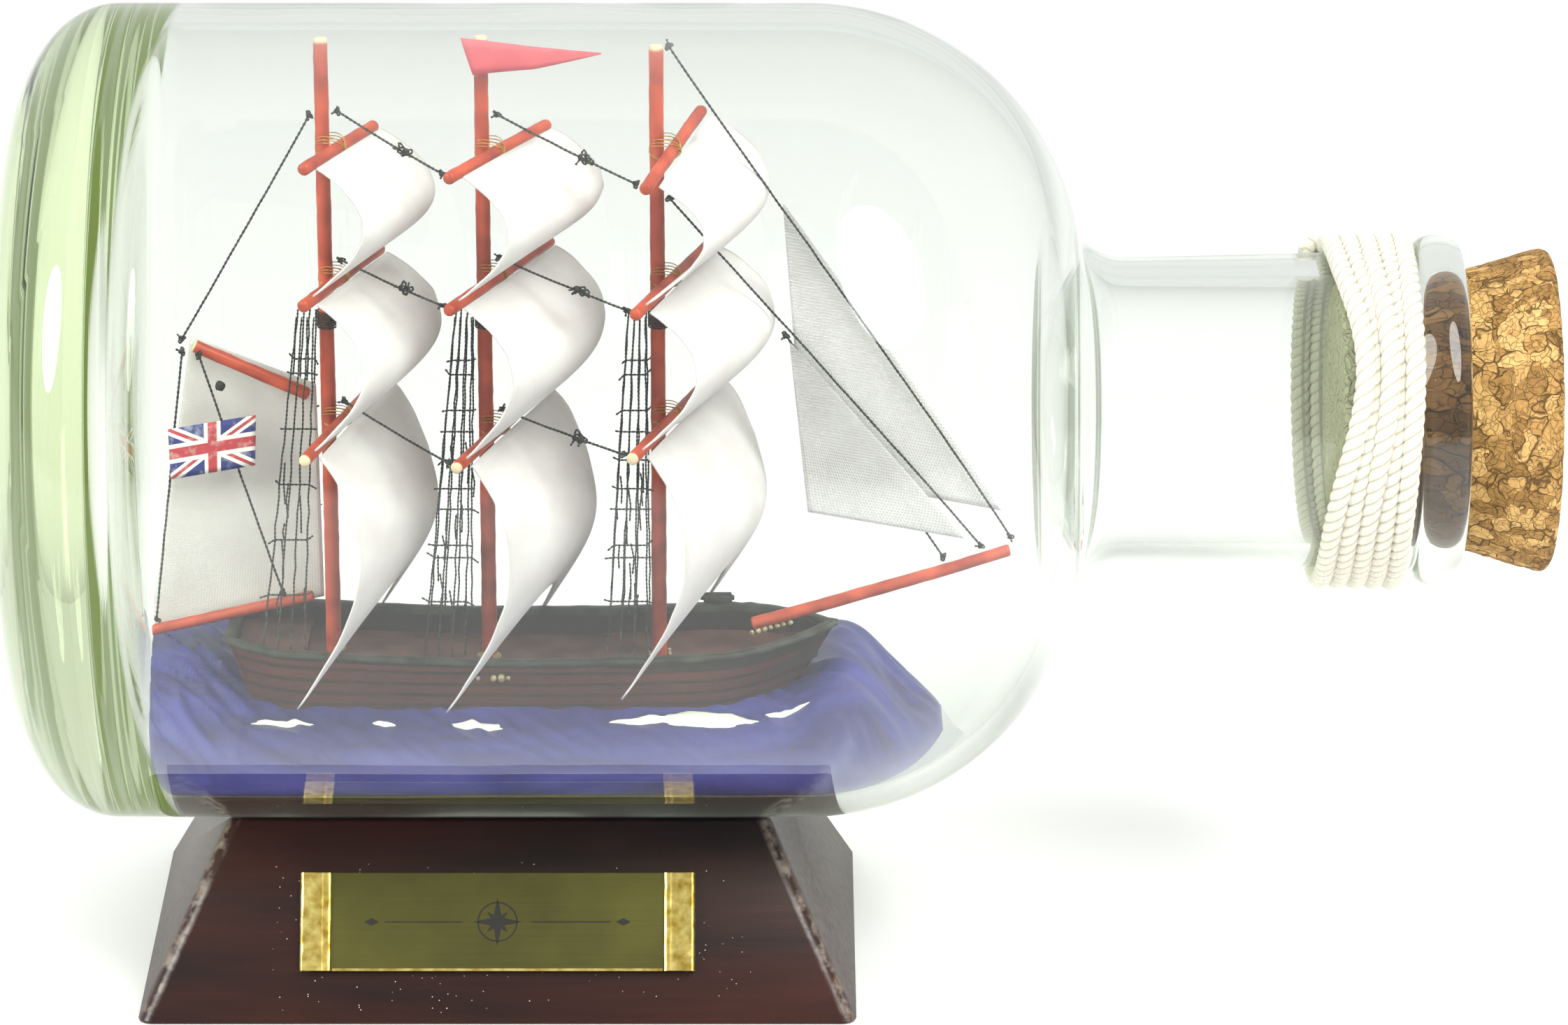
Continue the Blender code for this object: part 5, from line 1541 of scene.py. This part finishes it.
def build_fore_and_aft_sails():
    corners = ((-54.9, 5.6), (-43.4, 0.9), (-43.1, -20.2), (-59.6, -24.0))
    rows = patch_rows(corners, 30, 40, 0.15 * MM, 1.2 * MM)
    cloth_grid("ribbed_spanker", rows, 0.2 * MM, SPANKER_CLOTH, "white_sailcloth", ["spanker"])
    jibs = (
        ("outer_jib", ((-0.1, 18.6), (0.1, 18.5), (21.0, -11.4), (1.9, -7.8)), 0.555 * MM),
        ("inner_jib", ((0.5, 5.5), (0.7, 5.4), (17.3, -13.8), (2.2, -11.1)), -0.555 * MM),
    )
    for node, jib, aside in jibs:
        rows = patch_rows(jib, 24, 40, 0.0, aside)
        cloth_grid("muslin_" + node, rows, 0.16 * MM, MUSLIN, "white_muslin", [node])


build_fore_and_aft_sails()

# %% [markdown]
# ## Flags
# Both flags are printed paper. The pennant is plain red and its print is a little worn. The ensign is a
# national flag in its usual proportions: its stripes are worked out from the UV map, as distances from the
# lines of two crosses. Paper isn't cloth, so neither is declared as a sheet.

# %% Flag prints
def band_mask(tree, value, centre, half):
    """1 where a value lies within `half` of a centre."""
    return add(tree, "Math", {"operation": "COMPARE", 0: value, 1: centre, 2: half})


def ensign_finish():
    material, tree, shader = new_finish("printed_flag_paper", "#2A3470", 0.7, Specular_IOR_Level=0.3)
    coords = add(tree, "TexCoord")
    spot = add(tree, "SeparateXYZ", {"Vector": coords.outputs["UV"]})
    x, y = spot.outputs["X"], spot.outputs["Y"]
    # UVs run 0 to 2 along the fly and 0 to 1 down the hoist. On a diagonal |x/2 - y| or its mirror is 0.
    half_x = add(tree, "Math", {"operation": "MULTIPLY", 0: x, 1: 0.5})
    falling = add(tree, "Math", {"operation": "SUBTRACT", 0: half_x, 1: y})
    rising = add(tree, "Math", {"operation": "ADD", 0: half_x, 1: y})
    white, red = linear("#E9E6E4"), linear("#B9414A")
    colour = linear("#343C7C")
    layers = (
        (falling, 0.0, 0.115, white), (rising, 1.0, 0.115, white),
        (falling, 0.0, 0.038, red), (rising, 1.0, 0.038, red),
        (x, 1.0, 0.19, white), (y, 0.5, 0.19, white),
        (x, 1.0, 0.105, red), (y, 0.5, 0.105, red),
    )
    for value, centre, half, print_colour in layers:
        mask = band_mask(tree, value, centre, half)
        colour = add(tree, "Mix", {"data_type": "RGBA", 0: mask, 6: colour, 7: print_colour})
    fibre = add(tree, "TexNoise", {"Scale": 1400.0, "Detail": 3.0, "Vector": coords.outputs["Object"]})
    fade = add(tree, "MapRange",
               {"From Min": 0.5, "From Max": 0.85, "To Max": 0.5, "Value": fibre.outputs["Fac"]})
    faded = add(tree, "Mix", {"data_type": "RGBA", 7: white, 0: fade, 6: colour})
    feed(shader, {"Base Color": faded})
    return material


def pennant_finish():
    material, tree, shader = new_finish("red_printed_paper", "#D0424F", 0.65, Specular_IOR_Level=0.3)
    coords = add(tree, "TexCoord").outputs["Object"]
    fibre = add(tree, "TexNoise", {"Scale": 700.0, "Detail": 4.0, "Vector": coords})
    worn = add(tree, "Mix",
               {"data_type": "RGBA", 6: linear("#C23444"), 7: linear("#DE6470"), 0: fibre.outputs["Fac"]})
    feed(shader, {"Base Color": worn})
    return material


def paper_flag(name, rows, material, slot, node, uv_size):
    count = len(rows[0])
    points = [point for row in rows for point in row]
    uv = []
    for j in range(len(rows)):
        for i in range(count):
            uv.append((uv_size[0] * i / (count - 1), uv_size[1] * j / (len(rows) - 1)))
    faces = ring_faces(len(rows), count, closed=False, capped=False)
    flag = new_piece(name, points, faces, material, 180, uv)
    wall = flag.modifiers.new("thickness", "SOLIDIFY")
    wall.thickness = 0.15 * MM
    wall.offset = 0
    return settle(flag, slot, node)


def build_flags():
    near = -1.585 * MM
    corners = ((-57.0, -2.6), (-48.8, -1.2), (-49.0, -6.1), (-56.9, -7.5))
    rows = patch_rows(corners, 16, 8, 0.1 * MM, near)
    paper_flag("paper_ensign", rows, ensign_finish(), "flag_paper", "ensign", (2.0, 1.0))
    x, top = MAST_X["main"] / MM, MAST_TOP["main"] / MM
    steps = 24
    upper = [(-1.8, 0), (4.4, -0.7), (11.0, -1.3)]
    lower = [(-0.72, -3.2), (4.95, -2.7), (11.0, -1.4)]
    rows = []
    for edge in (0, 0.25, 0.5, 0.75, 1):
        row = []
        for i in range(steps + 1):
            t = 2 * i / steps
            k = min(int(t), 1)
            high = Vector(upper[k]).lerp(Vector(upper[k + 1]), t - k)
            low = Vector(lower[k]).lerp(Vector(lower[k + 1]), t - k)
            spot = high.lerp(low, edge)
            ripple = 0.1 * MM * math.sin(3.5 * t)
            row.append(midship((x + spot.x, top + spot.y), -1.15 * MM + ripple))
        rows.append(row)
    paper_flag("paper_pennant", rows, pennant_finish(), "red_paper", "pennant", (1.0, 1.0))


build_flags()
print("flags done")

# %% [markdown]
# ## Rigging
# The rigging is black sewing thread of two plies, waxed with glue here and there, so that its surface is
# rough and its knots are lumpy. Each thread follows the straight run between its two ends in the packed
# model, with a hair of sag. One Geometry Nodes tree sweeps a twisted oval along every run at once. The
# thread is about a quarter of a millimetre thick and is held at both ends, so it isn't declared as a free
# cord.

# %% Thread finishes
def thread_finish(name, dark, pale, roughness):
    material, tree, shader = new_finish(name, dark, roughness, Specular_IOR_Level=0.4)
    coords = add(tree, "TexCoord").outputs["Object"]
    fuzz = add(tree, "TexNoise", {"Scale": 2200.0, "Detail": 3.0, "Vector": coords})
    spread = add(tree, "MapRange", {"From Min": 0.4, "From Max": 0.7, "Value": fuzz.outputs["Fac"]})
    shade = add(tree, "Mix", {"data_type": "RGBA", 6: linear(dark), 7: linear(pale), 0: spread})
    raised = add(tree, "Bump", {"Strength": 0.5, "Distance": 0.05 * MM, "Height": fuzz.outputs["Fac"]})
    feed(shader, {"Base Color": shade, "Normal": raised})
    return material


BLACK_THREAD = thread_finish("black_waxed_thread", "#1B1E1D", "#4A4E4B", 0.6)
GOLD_THREAD = thread_finish("gold_silk_thread", "#A87A22", "#D9AE52", 0.45)
CLEAR_GLUE = thread_finish("dried_yellowed_glue", "#8A7A5C", "#BDB08C", 0.3)
THREAD_RADIUS = 0.13 * MM

# %% Straight threads
def sagging(start, end, sag, step=0.5 * MM, wobble=0.05 * MM):
    length = (end - start).length
    count = max(4, int(length / step))
    run = []
    for i in range(count + 1):
        t = i / count
        point = start.lerp(end, t)
        point.z -= sag * 4 * t * (1 - t)
        ease = math.sin(math.pi * t)
        point.x += wobble * ease * noise.noise(point / (2.2 * MM))
        point.z += wobble * ease * noise.noise(point / (2.7 * MM) + Vector((5, 0, 0)))
        run.append(point)
    return run


def build_thread(name, runs, nodes, radius=0.14 * MM, material=BLACK_THREAD, slot="black_thread"):
    line_work = line_mesh(name, runs)
    values = {"Radius": radius, "Ply_Length": radius * 7, "Step": radius * 1.15}
    thread = grow(name, thread_tree, line_work, material, **values)
    return settle(thread, slot, *nodes)


SAGS = {"outer_forestay": 0.1, "inner_forestay": 0.1, "lower_forestay": 0.0, "mizzen_backstay": 0.15}
SAGS |= {"leech_line": 0.0, "flag_halyard": 0.1}
STRAIGHT = list(SAGS) + [f"{mast}_{level}_brace" for mast in ("main", "fore") for level in LEVELS]
knots = []
for node in STRAIGHT:
    start, end = run_ends(node)
    build_thread("thread_" + node, [sagging(start, end, SAGS.get(node, 0.12) * MM)], [node])
    knots += [start, end]
print("threads", len(STRAIGHT))

# %% [markdown]
# ## Shroud ladders
# Six ladders of thread run from the masts to the rail. Four shrouds each cross five ratlines, and the
# ratlines' cut ends stick out. Glue has run down them in places and set in fine hanging threads.

# %% Shrouds
SHROUD_FOOT_AFT = {"mizzen": 4.2 * MM, "main": 3.9 * MM, "fore": 2.9 * MM}
RATLINES = 5


def shroud_point(mast, side, line, row):
    """A point of a ladder: `line` 0 to 3 fore and aft, `row` 0 at the mast and 6 at the rail."""
    foot_x = MAST_X[mast] - SHROUD_FOOT_AFT[mast]
    t = row / (RATLINES + 1)
    half = 0.8 * MM + 1.1 * MM * t
    middle = MAST_X[mast] - 1.9 * MM + (1.9 * MM - SHROUD_FOOT_AFT[mast]) * t
    top_y = 0.72 * MM + 0.3 * MM + THREAD_RADIUS
    foot_y = hull_half(foot_x) - BULWARK / 2
    foot_z = rail_height(foot_x) + 0.43 * MM
    height = 8.2 * MM + (foot_z - 8.2 * MM) * t
    return inside(middle + half * (2 * line / 3 - 1), SHIP_Y + side * (top_y + (foot_y - top_y) * t), height)


def build_shrouds():
    rng = random.Random(11)
    for mast in MAST_NAMES:
        for side, label in ((-1, "near"), (1, "far")):
            runs = []
            for line in range(4):
                points = [shroud_point(mast, side, line, row / 4) for row in range(4 * (RATLINES + 1) + 1)]
                points = [p + Vector((rng.uniform(-0.07, 0.07) * MM, 0, 0)) for p in points]
                runs.append(points)
            for row in range(1, RATLINES + 1):
                tilt = rng.uniform(-0.12, 0.12)
                ends = [shroud_point(mast, side, -0.45 - 0.3 * rng.random(), row + tilt)]
                ends += [shroud_point(mast, side, line, row) for line in range(4)]
                ends += [shroud_point(mast, side, 3.4 + 0.4 * rng.random(), row - tilt)]
                runs.append(ends)
            for _ in range(7):
                line, row = rng.uniform(0, 3), rng.uniform(2.5, 5.2)
                start = shroud_point(mast, side, line, row)
                fall = rng.uniform(1.5, 4.2) * MM
                drift = rng.uniform(-0.3, 0.3) * MM
                middle = start + Vector((drift, 0, -fall / 2))
                runs.append([start, middle, start + Vector((drift / 2, 0, -fall))])
            build_thread(f"thread_{mast}_{label}_shrouds", runs, [f"{mast}_{label}_shrouds"], 0.11 * MM)
    print("ladders", 6)


build_shrouds()

# %% [markdown]
# ## Lashings, knots and glue
# Gold silk thread ties every yard to its mast in a few crossed turns. Black thread knots sit where stays
# and braces are tied, most of them set with a drop of glue. A lashing is a helix swept by the thread tree.
# A knot is a small overhand tangle: a short path that doubles back through itself.

# %% Lashings
def crossed_turns(middle, along, forward, radius_a, radius_b, turns, slant):
    """A helix round a mast and a yard that cross, leaning one way and then the other."""
    run = []
    count = int(turns * 18)
    for i in range(count + 1):
        angle = 2 * math.pi * i / 18
        lean = slant if (i // 18) % 2 else -slant
        away = forward * math.cos(angle) * radius_a + along * math.sin(angle) * radius_b
        lift = lean * math.sin(angle) + 0.1 * MM * math.sin(angle / 3.3)
        run.append(middle + away + Vector((0, 0, lift)))
    return run


def build_lashings():
    gold, black = [], []
    for mast in MAST_NAMES:
        for level in LEVELS:
            middle, along, forward, _ = yard_frame(mast, level)
            spot = middle - forward * (YARD_STANDOFF / 2)
            reach = YARD_STANDOFF / 2 + YARD_RADIUS + 0.1 * MM
            for k in range(3):
                turn = crossed_turns(spot + Vector((0, 0, (k - 1) * 0.16 * MM)), along, forward,
                                     reach - 0.05 * MM * k, 0.86 * MM, 2, 0.6 * MM + 0.15 * MM * k)
                gold.append(turn)
    build_thread("gold_lashings", gold, [], 0.06 * MM, GOLD_THREAD)
    # Black turns wrap the mast just below each middle yard, where the ladders start.
    for mast in MAST_NAMES:
        top = inside(MAST_X[mast], SHIP_Y, 8.6 * MM)
        wrap = []
        for i in range(18 * 7 + 1):
            angle = 2 * math.pi * i / 18
            away = Vector((math.cos(angle), math.sin(angle), 0)) * (0.72 * MM + 0.12 * MM)
            wrap.append(top + away - Vector((0, 0, 0.24 * MM * i / 18)))
        black.append(wrap)
    build_thread("black_mast_wraps", black, [], 0.11 * MM)
    print("lashings", len(gold), "wraps", len(black))


def knot_path(spot, size, seed):
    """A short path that doubles back through itself, like an overhand knot with two cut ends."""
    rng = random.Random(seed)
    tilt = Matrix.Rotation(rng.uniform(0, 3), 4, "Y") @ Matrix.Rotation(rng.uniform(-0.6, 0.6), 4, "X")
    run = []
    for i in range(40):
        angle = 2 * math.pi * i / 39 * 1.92
        # A trefoil: the simplest curve that knots through itself.
        x = math.sin(angle / 1.92 * 1) + 2 * math.sin(2 * angle / 1.92)
        z = math.cos(angle / 1.92 * 1) - 2 * math.cos(2 * angle / 1.92)
        y = -math.sin(3 * angle / 1.92)
        run.append(spot + tilt @ (Vector((x * 1.3, y * 0.8, z * 0.8)) * size / 3))
    tail = tilt @ Vector((rng.uniform(-1, 1), rng.uniform(-0.4, 0.4), rng.uniform(-1, 0.2)))
    run.append(run[-1] + tail.normalized() * size * 1.6)
    return run


def build_knots():
    runs = [knot_path(spot, 0.34 * MM, i) for i, spot in enumerate(knots)]
    # Two larger knots along each of five braces.
    for i, node in enumerate(("main_upper_brace", "fore_upper_brace", "fore_middle_brace", "fore_lower_brace",
                              "main_middle_brace")):
        start, end = run_ends(node)
        runs.append(knot_path(start.lerp(end, 0.62), 0.55 * MM, 60 + i))
        runs.append(knot_path(start.lerp(end, 0.66), 0.45 * MM, 70 + i))
    build_thread("thread_knots", runs, [], 0.12 * MM)
    print("knots", len(runs))


build_lashings()
build_knots()

# %% Glue spots and the halyard bead
def lumps(name, spots, material, slot):
    """Small uneven drops, each a few dozen faces."""
    bm = bmesh.new()
    for spot, radius in spots:
        made = bmesh.ops.create_icosphere(bm, subdivisions=2, radius=radius)
        for vertex in made["verts"]:
            swell = 1 + 0.3 * noise.noise(vertex.co / radius + spot / MM)
            vertex.co = spot + vertex.co * swell
    mesh = bpy.data.meshes.new(name)
    bm.to_mesh(mesh)
    bm.free()
    mesh.materials.append(material)
    mesh.shade_smooth()
    piece = put(name, mesh)
    return settle(piece, slot)


def build_drops():
    rng = random.Random(4)
    bead = inside(-52.1 * MM, SHIP_Y - 1.1 * MM, 1.5 * MM)
    lumps("halyard_bead", [(bead, 0.5 * MM)], FITTING_PAINT, "black_paint")
    glue = []
    for mast in MAST_NAMES:
        foot = inside(MAST_X[mast], SHIP_Y, rail_height(MAST_X[mast]) - BULWARK_HEIGHT + 0.2 * MM)
        for _ in range(7):
            angle = rng.uniform(0, 2 * math.pi)
            away = Vector((math.cos(angle), math.sin(angle), rng.uniform(-0.1, 0.5))) * 0.95 * MM
            glue.append((foot + away, rng.uniform(0.15, 0.35) * MM))
    for x in (-27.0, -26.2, -25.6, -28.4):
        glue.append((inside(x * MM, SHIP_Y - 7.3 * MM, -25.2 * MM), rng.uniform(0.2, 0.4) * MM))
    for i in range(7):
        spot = inside((-3.0 + 0.6 * i) * MM, SHIP_Y - 0.3 * MM, (-23.35 + 0.16 * i) * MM)
        glue.append((spot, rng.uniform(0.22, 0.36) * MM))
    lumps("glue_drops", glue, CLEAR_GLUE, "red_spar_paint")
    print("glue drops", len(glue))


build_drops()
